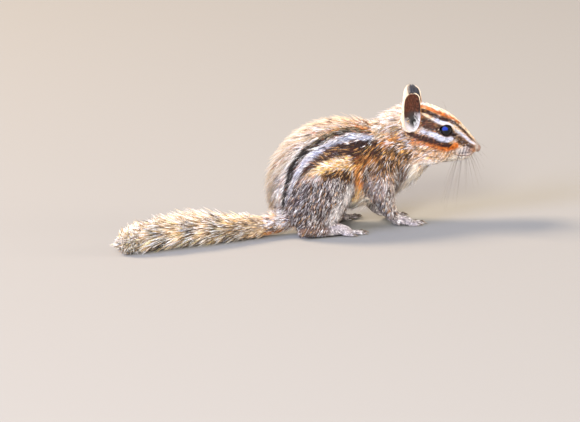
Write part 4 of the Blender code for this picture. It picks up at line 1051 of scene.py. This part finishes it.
def grow_tail_coat():
    """The brush: tufts of hair about 12 mm long that lean back off the core, banded tan, dark
    and cream, and rust underneath."""
    draw, tuft = np.random.default_rng(31), np.random.default_rng(6)
    count = TAIL_HAIR["count"]
    x = -11.5 - 67.5 * draw.uniform(size=count) ** 0.92
    angle = draw.uniform(0, 2 * math.pi, count)
    y, z, _, _, core = tail_at(x)
    out = np.stack([np.zeros(count), np.cos(angle), np.sin(angle)], 1)
    root = np.stack([x, y, z], 1) + out * (core * 0.9)[:, None]
    length = TAIL_HAIR["length"] * np.clip(draw.normal(1, 0.13, count), 0.6, 1.35)
    length *= 0.42 + 0.58 * ramp(-x, 12, 30)
    # reach is how far out of the brush a tip comes: 1 is at its edge
    reach = np.clip(draw.beta(2.6, 1.2, count) * 1.15, 0.12, 1.12)
    spike = (np.arange(count) % TAIL_HAIR["tuft"] == 0) & (draw.uniform(size=count) < 0.4)
    reach[spike] = draw.uniform(1.05, 1.45, spike.sum())
    length[spike] *= 1.15
    run = length * draw.uniform(0.66, 0.9, count)
    room = 86.0 - 8.5 * np.clip(reach, 0, 1.2) ** 2.2 - 2.5 * draw.uniform(size=count)
    end = np.maximum(x - run, -np.maximum(room, -x + 1.5))
    tip_y, tip_z, tip_width, tip_height, _ = tail_at(np.clip(end + 5 * ramp(-end, 60, 80), -78.0, 0))
    low = np.where(np.sin(angle) < 0, np.minimum(tip_height, tip_z), tip_height)
    edge = 1 / np.hypot(np.cos(angle) / tip_width, np.sin(angle) / low)
    angle = angle + draw.normal(0, 0.14, count)
    below = fade(np.sin(angle), -0.95, -0.35)[:, None]
    out_tip = np.stack([np.zeros(count), np.cos(angle), np.sin(angle)], 1)
    narrowing = 1 - 0.45 * ramp(-end, 78, 86)
    tip = np.stack([end, tip_y, tip_z], 1) + out_tip * (edge * reach * narrowing)[:, None]
    tip, mine = clumped(root, tip, TAIL_HAIR["tuft"], draw.uniform(0.2, 0.75, count))
    middle = root + (tip - root) * 0.42 + out * (edge * 0.1)[:, None]

    light = np.clip(1 + tuft.normal(0, 0.46, count)[mine] + draw.normal(0, 0.32, count), 0.28, 2.0)
    light = light[:, None]
    near = fade(-x, 12, 32)[:, None]
    patch = np.clip(0.6 + 0.55 * wobble(root, 7, 12) + tuft.normal(0, 0.15, count)[mine], 0.15, 1.0)
    middle_tone = mix(mix(TAN, DARK, patch[:, None]) * light, PELT["tail_top"], 0.3 * near)
    as_tuft = draw.uniform(size=count) < 0.45
    luck = np.where(as_tuft, tuft.uniform(size=count)[mine], draw.uniform(size=count))
    tip_tone = mix(mix(CREAM, RUST_UNDER, 0.3 * below) * light, PELT["tail_top"], 0.4 * near)
    for tone, chosen in ((DARK, luck < 0.29), (TAN, (luck > 0.29) & (luck < 0.47))):
        tip_tone[chosen] = tone * light[chosen]
    spot = np.stack([x, draw.uniform(0, 0.01, count) + np.arctan2(out[:, 1], out[:, 2])], 1)
    width = TAIL_HAIR["width"] * np.clip(draw.normal(1, 0.18, count), 0.6, 1.6)
    root_tone = mix(TAN, RUST_UNDER, below) * light
    hairs = dict(base=root - out * 0.3, middle=middle, tip=tip, normal=out, width=width,
                 root_tone=np.clip(root_tone, 0, 1), middle_tone=np.clip(middle_tone, 0, 1),
                 tip_tone=np.clip(tip_tone, 0, 1))
    lay_coat("coat_tail_brush", hairs, spot, rings=3)


# Face

def eye_axes(side):
    """The ways along an eye's opening, out of it and across it, in the head's frame."""
    ct, st = math.cos(EYE_TILT), math.sin(EYE_TILT)
    cf, sf = math.cos(EYE_FORWARD), math.sin(EYE_FORWARD)
    flip = np.array((1, side, 1))
    return (np.array((ct * cf, -ct * sf, -st)) * flip, np.array((sf, cf, 0)) * flip,
            np.array((st * cf, -st * sf, ct)) * flip)


def eye_point(side, angle, radius, wide, tall):
    """A point at a radius from the eye's centre, over the edge of its opening."""
    along, out, across = eye_axes(side)
    pinch = 1 - 0.2 * abs(math.cos(angle)) ** 3
    corner = 1 + 0.1 * max(math.cos(angle), 0) ** 6
    a = EYE_OPENING[0] / 2 * math.cos(angle) * wide * corner
    c = EYE_OPENING[1] / 2 * math.sin(angle) * pinch * tall
    o = math.sqrt(max(radius**2 - a * a - c * c, 0.04))
    return EYE * (1, side, 1) + along * a + across * c + out * o


def build_eye(side, label):
    """The eyeball, a little proud at the cornea, black in the middle and dark brown round it."""
    along, out, across = eye_axes(side)
    points, tones = [], []
    rings, spokes = 30, 48
    brown, black, edge = linear("#2E2009"), linear("#040303"), linear("#0A0605")
    for i in range(rings + 1):
        t = math.pi * i / rings
        radius = EYE_RADIUS * (1 + 0.035 * fade(t, 0.35, 0.95))
        iris = ramp(t, 0.3, 0.5) * fade(t, 0.85, 1.05)
        for a in np.arange(spokes) * 2 * math.pi / spokes:
            ray = out * math.cos(t) + (along * math.cos(a) + across * math.sin(a)) * math.sin(t)
            points.append(EYE * (1, side, 1) + ray * radius)
            tones.append(mix(black, brown, iris) if t < 1.05 else edge)
    quads = facing_out(ring_quads(rings + 1, spokes, flipped=True), side)
    piece = mesh_piece(f"eyeball_{label}", from_head(points), quads, EYE_WET, np.array(tones),
                       replaces=[f"eye_{label}"])


# Rows of the lids' rim: distance from the eye's middle, width and height against the opening
LID_PROFILE = [(3.36, 0.97, 0.96), (3.5, 0.965, 0.955), (3.72, 1.0, 1.0), (3.78, 1.08, 1.1),
               (3.66, 1.2, 1.24), (3.3, 1.34, 1.42)]


def build_lids(side, label):
    """The wet rim of both lids, heavier above, that lies on the eyeball and runs into the skin."""
    spokes = 56
    points = []
    for radius, wide, tall in LID_PROFILE:
        for angle in np.arange(spokes) * 2 * math.pi / spokes:
            brow = 0.12 * max(math.sin(angle), 0)
            points.append(eye_point(side, angle, radius + brow, wide, tall))
    quads = facing_out(ring_quads(len(LID_PROFILE), spokes), side)
    mesh_piece(f"eyelids_{label}", from_head(points), quads, LID_SKIN)


def build_nose():
    """The nose pad: a rounded leathery end with two comma-shaped nostrils and a groove between."""
    rings, spokes = 40, 56
    points = []
    for t in math.pi * np.arange(rings + 1) / rings:
        for a in np.arange(spokes) * 2 * math.pi / spokes:
            ray = np.array((math.cos(t), math.sin(t) * math.cos(a), math.sin(t) * math.sin(a)))
            side, up = abs(ray[1]), ray[2]
            hole = math.exp(-(((side - 0.62) / 0.2) ** 2 + ((up - 0.12 - 0.35 * (side - 0.6)) / 0.16) ** 2))
            groove = math.exp(-((side / 0.1) ** 2)) * (ray[0] > 0) * (up < 0.5)
            wing = math.exp(-(((side - 0.6) / 0.3) ** 2 + ((up - 0.45) / 0.2) ** 2))
            size = 1.02 * (1 - 0.4 * hole * (ray[0] > 0.1) - 0.1 * groove + 0.05 * wing)
            points.append(np.array(NOSE) + (0.15, 0, 0) + ray * NOSE_RADII * size)
    mesh_piece("nose_pad", from_head(points), ring_quads(rings + 1, spokes, flipped=True), NOSE_SKIN)


def met_from_side(tree, ahead, up, side):
    """Where a line straight in from one side of the head meets the skin, if it does."""
    start, way = from_head((ahead, 22.0 * side, up)), turn_from_head((0, -side, 0))
    hit = tree.ray_cast(Vector(start), Vector(way))[0]
    return None if hit is None else np.array(hit)


def build_mouth(tree):
    """The closed lips: a thin dark line from corner to corner, with the cleft up to the nose."""
    right, left = [], []
    for side, route in ((-1, right), (1, left)):
        for ahead, up in MOUTH:
            met = met_from_side(tree, ahead, up, side)
            route.append(from_head((ahead, 0.3 * side, up)) if met is None else met)
    route = right[::-1] + [from_head((27.0, 0, 31.3))] + left
    radii = [0.06] + [0.16] * (len(route) - 2) + [0.06]
    lips = [(*p, radius) for p, radius in zip(route, radii)]
    cleft = [(*from_head(p), 0.13) for p in ((28.9, 0, 32.0), (28.2, 0, 31.6), (27.0, 0, 31.2))]
    parts = [tube(smooth_rows(rows, 4), 8) for rows in (lips, cleft)]
    points, faces, _ = joined([(p, tri, np.zeros((len(p), 3))) for p, tri in parts])
    mesh_piece("lip_line", points, faces, LIP_SKIN)


# Ears

def ear_axes(side):
    """The ways out of an ear's opening and across it."""
    opening = np.array((math.sin(EAR_FORWARD), math.cos(EAR_FORWARD) * side, 0))
    return opening, np.cross((0, 0, 1.0), opening)


def ear_height(points):
    """How far up the ear points lie, from 0 at its bottom to 1 at its top."""
    return (points[..., 2] - EAR_BOTTOM[2]) / (EAR_TOP[2] - EAR_BOTTOM[2])


def ear_grid(side, rows, columns):
    """Points over the bowl of an ear, row by row from its bottom."""
    opening, across = ear_axes(side)
    table = smooth_rows(EAR_ROWS, rows)
    bottom, top = EAR_BOTTOM * (1, side, 1), EAR_TOP * (1, side, 1)
    grid = np.zeros((len(table), columns + 1, 3))
    for i, (share, half_width, depth) in enumerate(table):
        share = min(max(share, 0), 1)
        middle = bottom + (top - bottom) * share
        for k in range(columns + 1):
            angle = math.pi * (k / columns - 0.5)
            roll = 0.2 * abs(math.sin(angle)) ** 6 * min(1, 3 * share)
            grid[i, k] = (middle + across * max(half_width, 0.3) * math.sin(angle)
                          - opening * (max(depth, 0.15) * math.cos(angle) - roll))
    return grid


def ear_normals(grid, side):
    """The ways out of the bowl at its points."""
    normal = unit(np.cross(np.gradient(grid, axis=1), np.gradient(grid, axis=0)))
    return normal if dot(normal, ear_axes(side)[0]).mean() > 0 else -normal


def ear_inner_tone(grid, side, edge):
    """Inside, an ear is brown with painted shade darkening it to its edges, and pales to its root round a
    dark canal whose darkness is painted shade.
    """
    share = ear_height(grid)[..., None]
    ahead = np.linspace(-1, 1, grid.shape[1])[None, :, None] * -side
    # Painted shade: darker towards the bowl's edges.
    shade = PELT["ear_skin"] * (1.4 - ramp(edge, 0.25, 0.95))[..., None]
    low = fade(share + 0.16 * (1 - abs(ahead)), 0.36, 0.54)
    shade = mix(shade, linear("#D6D2D8"), low * 0.8)
    # Painted shade: the canal's opening, a dark grey ring round a near-black spot on the shell.
    for tone, middle, half, amount in (("#2E2B2C", (0.4, 0.35), (0.14, 0.5), 0.8),
                                       ("#050304", (0.23, 0.42), (0.18, 0.5), 1.0)):
        gap = ((share - middle[0]) / half[0]) ** 2 + ((ahead - middle[1]) / half[1]) ** 2
        shade = mix(shade, linear(tone), np.exp(-(gap**1.5)) * amount)
    return shade


def build_ear(side, label):
    """A thin cupped ear: brown skin inside that pales to its root, a canal painted dark as its shade,
    velvet behind.
    """
    grid = ear_grid(side, 5, 40)
    normal = ear_normals(grid, side)
    rows, columns = grid.shape[:2]
    high = np.linspace(0, 1, rows)[:, None]
    edge = np.abs(np.linspace(-1, 1, columns))[None]
    rim = np.maximum(ramp(edge, 0.75, 1.0), ramp(high, 0.9, 1.0))
    thick = 0.42 * (1 - 0.5 * rim) * (1 + 1.2 * fade(high, 0.0, 0.3))
    layers = [grid + normal * (thick / 2)[..., None], grid - normal * (thick / 2)[..., None]]
    tones = [ear_inner_tone(grid, side, edge), ear_back_tone(grid, side) * 0.6]
    points, tones = (np.concatenate([part.reshape(-1, 3) for part in parts]) for parts in (layers, tones))
    at = np.arange(rows * columns).reshape(rows, columns)
    quads, half = [], rows * columns
    for a, b, c, d in zip(*(part.ravel() for part in (at[:-1, :-1], at[:-1, 1:], at[1:, 1:], at[1:, :-1]))):
        quads += [(a, b, c, d), (half + a, half + d, half + c, half + b)]
    loop = [*at[0], *at[1:, -1], *at[-1, -2::-1], *at[-2:0:-1, 0]]
    for a, b in zip(loop, loop[1:] + loop[:1]):
        quads.append((b, a, half + a, half + b))
    mesh_piece(f"ear_shell_{label}", from_head(points), facing_out(quads, side), EAR_SKIN,
               np.clip(tones, 0, 1))
    grow_ear_coat(grid, normal, side, label)


def ear_back_tone(grid, side):
    """Behind, an ear is dark slate along its front half and pale along its rear half, and the
    line between them slants on its upper half."""
    _, across = ear_axes(side)
    front = dot(grid - grid[:, grid.shape[1] // 2][:, None], across) * np.sign(across[0])
    ragged = wobble(grid.reshape(-1, 3), 1.5, 15).reshape(front.shape)
    slant = 9.0 * (np.maximum(ear_height(grid), 0.5) - 0.8)
    share = ramp(front + ragged * 0.6 + slant, -1.2, 0.8)[..., None]
    return mix(PELT["ear_pale"], PELT["ear_back"], share)


# Hairs of an ear, with the shares of them on its rim and inside its bowl
EAR_HAIR = dict(count=5400, fringe=0.26, inside=0.16)


def ear_roots(draw, rows, columns):
    """Row and column of each hair on an ear's grid, and which hairs are on its rim and inside."""
    count = EAR_HAIR["count"]
    r = draw.uniform(0.02, 0.995, count) * (rows - 1)
    c = draw.uniform(0, 1, count) * (columns - 1)
    kind = draw.uniform(size=count)
    fringe = kind < EAR_HAIR["fringe"]
    inside = ~fringe & (kind < EAR_HAIR["fringe"] + EAR_HAIR["inside"])
    edge_side = draw.uniform(size=count) < 0.5
    c[fringe] = np.where(edge_side[fringe], 0.0, columns - 1.0) + draw.normal(0, 0.5, fringe.sum())
    top = fringe & (draw.uniform(size=count) < 0.22)
    r[top] = rows - 1 - abs(draw.normal(0, 1.2, top.sum()))
    c[top] = draw.uniform(0, 1, top.sum()) * (columns - 1)
    return np.clip(r, 0, rows - 1), np.clip(c, 0, columns - 1), fringe, inside


def grow_ear_coat(grid, normal, side, label):
    """Short velvet: dark and pale behind, sparse inside, and a cream fringe along the rim."""
    draw = np.random.default_rng(41)
    rows, columns = grid.shape[:2]
    r, c, fringe, inside = ear_roots(draw, rows, columns)
    i, k = np.minimum(r.astype(int), rows - 2), np.minimum(c.astype(int), columns - 2)

    def at(field):
        low, high = (mix(field[row, k], field[row, k + 1], (c - k)[:, None]) for row in (i, i + 1))
        return mix(low, high, (r - i)[:, None])

    spot = at(grid)
    out = unit(at(normal)) * np.where(inside, 1.0, -1.0)[:, None]
    upward = unit(np.array((-0.25, 0, 1.0)) - out * out[:, 2:])
    from_middle = spot - grid[i, columns // 2]
    way = np.where(fringe[:, None], unit(upward * 0.7 + unit(from_middle + 1e-6) * 0.6), upward)
    length = np.where(fringe, 0.5, np.where(inside, 1.3, 1.25))
    length = length * np.clip(draw.normal(1, 0.2, len(r)), 0.5, 1.6)
    lift = np.where(inside, 0.35, 0.3) * length
    base = spot + out * 0.2
    tip = base + way * length[:, None] + out * lift[:, None] * 0.6
    middle = base + way * (length * 0.45)[:, None] + out * lift[:, None] * 0.75

    high = ear_height(spot)
    tone = mix(linear("#6A3A26"), linear("#EEEEF6"), fade(high, 0.3, 0.5)[:, None])
    tone = np.where(inside[:, None], tone, at(ear_back_tone(grid, side)))
    _, across = ear_axes(side)
    front = ramp(dot(from_middle, across) * np.sign(across[0]), -1.0, 3.0) * fade(high, 0.6, 0.85)
    rim_tone = mix(linear("#EAD8BC"), linear("#B87840"), front[:, None])
    spread = np.where(fringe, 0.14, np.where(inside & (high > 0.4), 0.45, 0.3))
    light = np.clip(draw.normal(1, spread), 0.35, 1.9)[:, None]
    tone = np.where(fringe[:, None], rim_tone, tone) * light
    keep = ~(inside & (high < 0.5) & (abs(2 * c / (columns - 1) - 1) < 0.5))
    hairs = dict(base=from_head(base), middle=from_head(middle), tip=from_head(tip),
                 normal=turn_from_head(out), width=np.where(fringe | inside, 0.14, 0.17))
    for key, share in (("root_tone", 0.7), ("middle_tone", 0.95), ("tip_tone", 1.08)):
        hairs[key] = np.clip(tone * share, 0, 1)
    lay_coat(f"coat_ear_{label}", pick(hairs, keep), np.stack([r, c + inside * 0.3], 1)[keep])


# Whiskers and claws

def whisker_table(draw):
    """Whiskers of one side: forward and up of the root, its way, its length and its radius."""
    table = []
    for number, spot in enumerate(WHISKER_ROOTS):
        row, k = (0, number) if number < 3 else (1 + (number - 3) // 4, (number - 3) % 4)
        way = (0.6 - 0.28 * k - 0.08 * row, 0.62, 0.05 - 0.26 * row - 0.1 * k)
        table.append(((spot[0], spot[2]), way, 13 + 3.0 * k + draw.uniform(-1, 1), 0.075))
    for k in range(2):
        table.append(((15.5 - 1.6 * k, 48.0), (-0.1 - 0.2 * k, 0.25, 0.95), 13 - 2 * k, 0.06))
    return table + [((9.0, 37.5), (-0.5, 0.4, -0.6), 12, 0.06)]


def build_whiskers(tree):
    """Tapered whiskers in rows on each pad, two over each eye and one on each cheek."""
    draw = np.random.default_rng(51)
    parts = []
    dark, pale = linear("#2A211B"), linear("#8D7C6A")
    for side, _ in SIDES:
        for (ahead, up), way, size, radius in whisker_table(draw):
            root = met_from_side(tree, ahead, up, side)
            if root is None:
                continue
            way = unit(np.array(way) * (1, side, 1) + draw.normal(0, 0.05, 3))
            droop = np.array((-0.12, -0.42 * side, -0.75))
            rows = []
            for t in np.linspace(0, 1, 11):
                p = turn_from_head(way * (size * t - 0.4) + droop * size * t * t * 0.55)
                rows.append((*(root + p), radius * (1 - 0.85 * t)))
            points, faces = tube(rows, 5)
            share = np.linspace(0, 1, len(points))[:, None]
            parts.append((points, faces, mix(dark, pale, share * 0.6)))
    points, faces, tones = joined(parts)
    mesh_piece("whiskers", points, faces, WHISKER_HAIR, tones)


def digit_ends(foot, anchor, side):
    """The end of each digit of a foot, and the way it points."""
    heading = foot["heading"] * side
    turn = math.radians(heading)
    count = len(foot["spread"])
    ends = []
    for k, (spread, length, back) in enumerate(zip(foot["spread"], foot["length"], foot["back"])):
        aside = foot["half"] * (2 * k / (count - 1) - 1) * 0.86
        ahead = foot["end"] - back
        root = np.array(anchor) + (ahead * math.cos(turn) - aside * math.sin(turn),
                                   ahead * math.sin(turn) + aside * math.cos(turn))
        way = math.radians(heading + spread)
        step = np.array((math.cos(way), math.sin(way)))
        ends.append((root + step * length, step))
    return ends


# A claw: ahead of the digit's end, up, radius
CLAW = [(-0.9, 0.95, 0.3), (-0.2, 1.3, 0.36), (0.6, 1.42, 0.33), (1.3, 1.15, 0.24), (1.9, 0.7, 0.13),
        (2.2, 0.3, 0.04)]


def build_claws():
    """Curved horn claws, brown at the root and paler at the tip, one on each digit."""
    parts = []
    deep, tip = linear("#2A201A"), linear("#8F7C66")
    for side, label in SIDES:
        far = label == "left"
        feet = ((FINGERS, (WRIST[0] - FAR_FORELEG_BACK * far, WRIST[1] * side), 0.9),
                (TOES, (HEEL[0] + FAR_HIND_LEG_AHEAD * far, HEEL[1] * side), 1.0))
        for foot, anchor, size in feet:
            for end, step in digit_ends(foot, anchor, side):
                rows = smooth_rows([(*(end + step * out * size), max(up * size, 0.2), radius * size)
                                    for out, up, radius in CLAW], 3)
                points, faces = tube(rows, 10)
                share = np.concatenate([np.repeat(np.linspace(0, 1, len(rows)), 10), (0, 1)])
                parts.append((points, faces, mix(deep, tip, share[:, None] ** 1.6)))
    points, faces, tones = joined(parts)
    mesh_piece("claws", points, faces, CLAW_HORN, tones)


# Stage

LAMP_TARGET = Vector((0, 0, 0.03))
# Lamps: place and size in metres, watts, colour and what they light. The last two light the
# eyeballs alone: they stand for the blue sky that a wet eye mirrors.
LAMPS = [
    ("key", (-0.8, -2.2, 1.1), (0.9, 0.9), 116.0, "#FFFAF6", "all_but_eyes"),
    ("window", (-2.3, -0.8, 1.2), (1.6, 1.2), 108.0, "#B4C6FF", "all_but_eyes"),
    ("rim", (-1.5, 1.4, 1.7), (0.8, 0.8), 140.0, "#FFE6C8", None),
    ("fill", (2.2, -1.4, 0.7), (1.0, 1.0), 46.0, "#FFF0E2", "all_but_eyes"),
    ("sky_in_the_eyes", (-1.25, -1.1, 1.0), (10.0, 3.5), 1820.0, "#2A5CFF", "eyes"),
    ("glint_in_the_far_eye", (-0.5, 1.7, 1.3), (0.9, 0.7), 46.0, "#DCE6FF", "eyes"),
]


def build_floor():
    """A plain pale floor, 6 m across."""
    mesh = bpy.data.meshes.new("floor")
    mesh.from_pydata([(-3, -3, 0), (3, -3, 0), (3, 3, 0), (-3, 3, 0)], [], [(0, 1, 2, 3)])
    mesh.materials.append(finish("paper_matt_pale_backdrop", {
        "Base Color": rgba("#84837F"), "Roughness": 0.9})[0])
    new_object("floor", mesh)


def build_lamps():
    """Soft studio light: a pale sky all round, and the lamps."""
    world = bpy.data.worlds.new("studio")
    bpy.context.scene.world = world
    world.use_nodes = True
    sky = world.node_tree.nodes["Background"]
    sky.inputs["Color"].default_value = rgba("#EFEDEC")
    sky.inputs["Strength"].default_value = 0.62
    bpy.context.scene.view_settings.view_transform = "Standard"
    lit = {name: bpy.data.collections.new(name) for name in ("eyes", "all_but_eyes")}
    for group in lit.values():
        for _, label in SIDES:
            group.objects.link(bpy.data.objects[f"eyeball_{label}"])
    for entry in lit["all_but_eyes"].collection_objects:
        entry.light_linking.link_state = "EXCLUDE"
    for name, where, size, power, tone, lights in LAMPS:
        lamp = bpy.data.lights.new(name, "AREA")
        lamp.shape = "RECTANGLE"
        lamp.size, lamp.size_y = size
        lamp.energy = power
        lamp.color = tuple(linear(tone))
        thing = new_object(name, lamp)
        thing.location = where
        thing.visible_camera = False
        if lights:
            thing.light_linking.receiver_collection = lit[lights]
        thing.rotation_mode = "QUATERNION"
        thing.rotation_quaternion = (LAMP_TARGET - Vector(where)).to_track_quat("-Z", "Y")


CAMERA_AZIMUTH, CAMERA_HEIGHT, CAMERA_ROLL = -12.0, 12.0, 4.0
MM_PER_PIXEL, FRAME_PIXELS = 0.46, 580
LENS_MM, SENSOR_MM = 200.0, 36.0
AIM_HEIGHT = 10.8


def build_camera():
    """A long lens at the photograph's angle, aimed a little above the floor under the rump."""
    a, e, roll = (math.radians(v) for v in (CAMERA_AZIMUTH, CAMERA_HEIGHT, CAMERA_ROLL))
    back = Vector((math.sin(a) * math.cos(e), -math.cos(a) * math.cos(e), math.sin(e)))
    right = Vector((math.cos(a), math.sin(a), 0))
    up = back.cross(right)
    across = right * math.cos(roll) - up * math.sin(roll)
    upright = right * math.sin(roll) + up * math.cos(roll)
    distance = MM_PER_PIXEL * FRAME_PIXELS * MM * LENS_MM / SENSOR_MM
    data = bpy.data.cameras.new("camera")
    data.lens = LENS_MM
    data.sensor_width = SENSOR_MM
    camera = new_object("camera", data)
    where = Vector(place((0, 0, AIM_HEIGHT))) + back * distance
    camera.matrix_world = Matrix.Translation(where) @ Matrix((across, upright, back)).transposed().to_4x4()
    bpy.context.scene.camera = camera


def main():
    build_camera()
    skin = build_skin()
    tones, _ = pelt(skin["outer"], skin["normal"], skin["shares"])
    piece = mesh_piece("skin", skin["inner"], skin["quads"], SKIN_UNDER_FUR, tones * 0.7, replaces=REPLACED)
    grow_body_coat(skin)
    grow_tail_coat()
    for side, label in SIDES:
        build_eye(side, label)
        build_lids(side, label)
        build_ear(side, label)
    build_nose()
    build_mouth(tree_of(skin["outer"], skin["quads"]))
    build_whiskers(tree_of(skin["inner"], skin["quads"]))
    build_claws()
    build_floor()
    build_lamps()
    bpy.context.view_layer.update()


main()
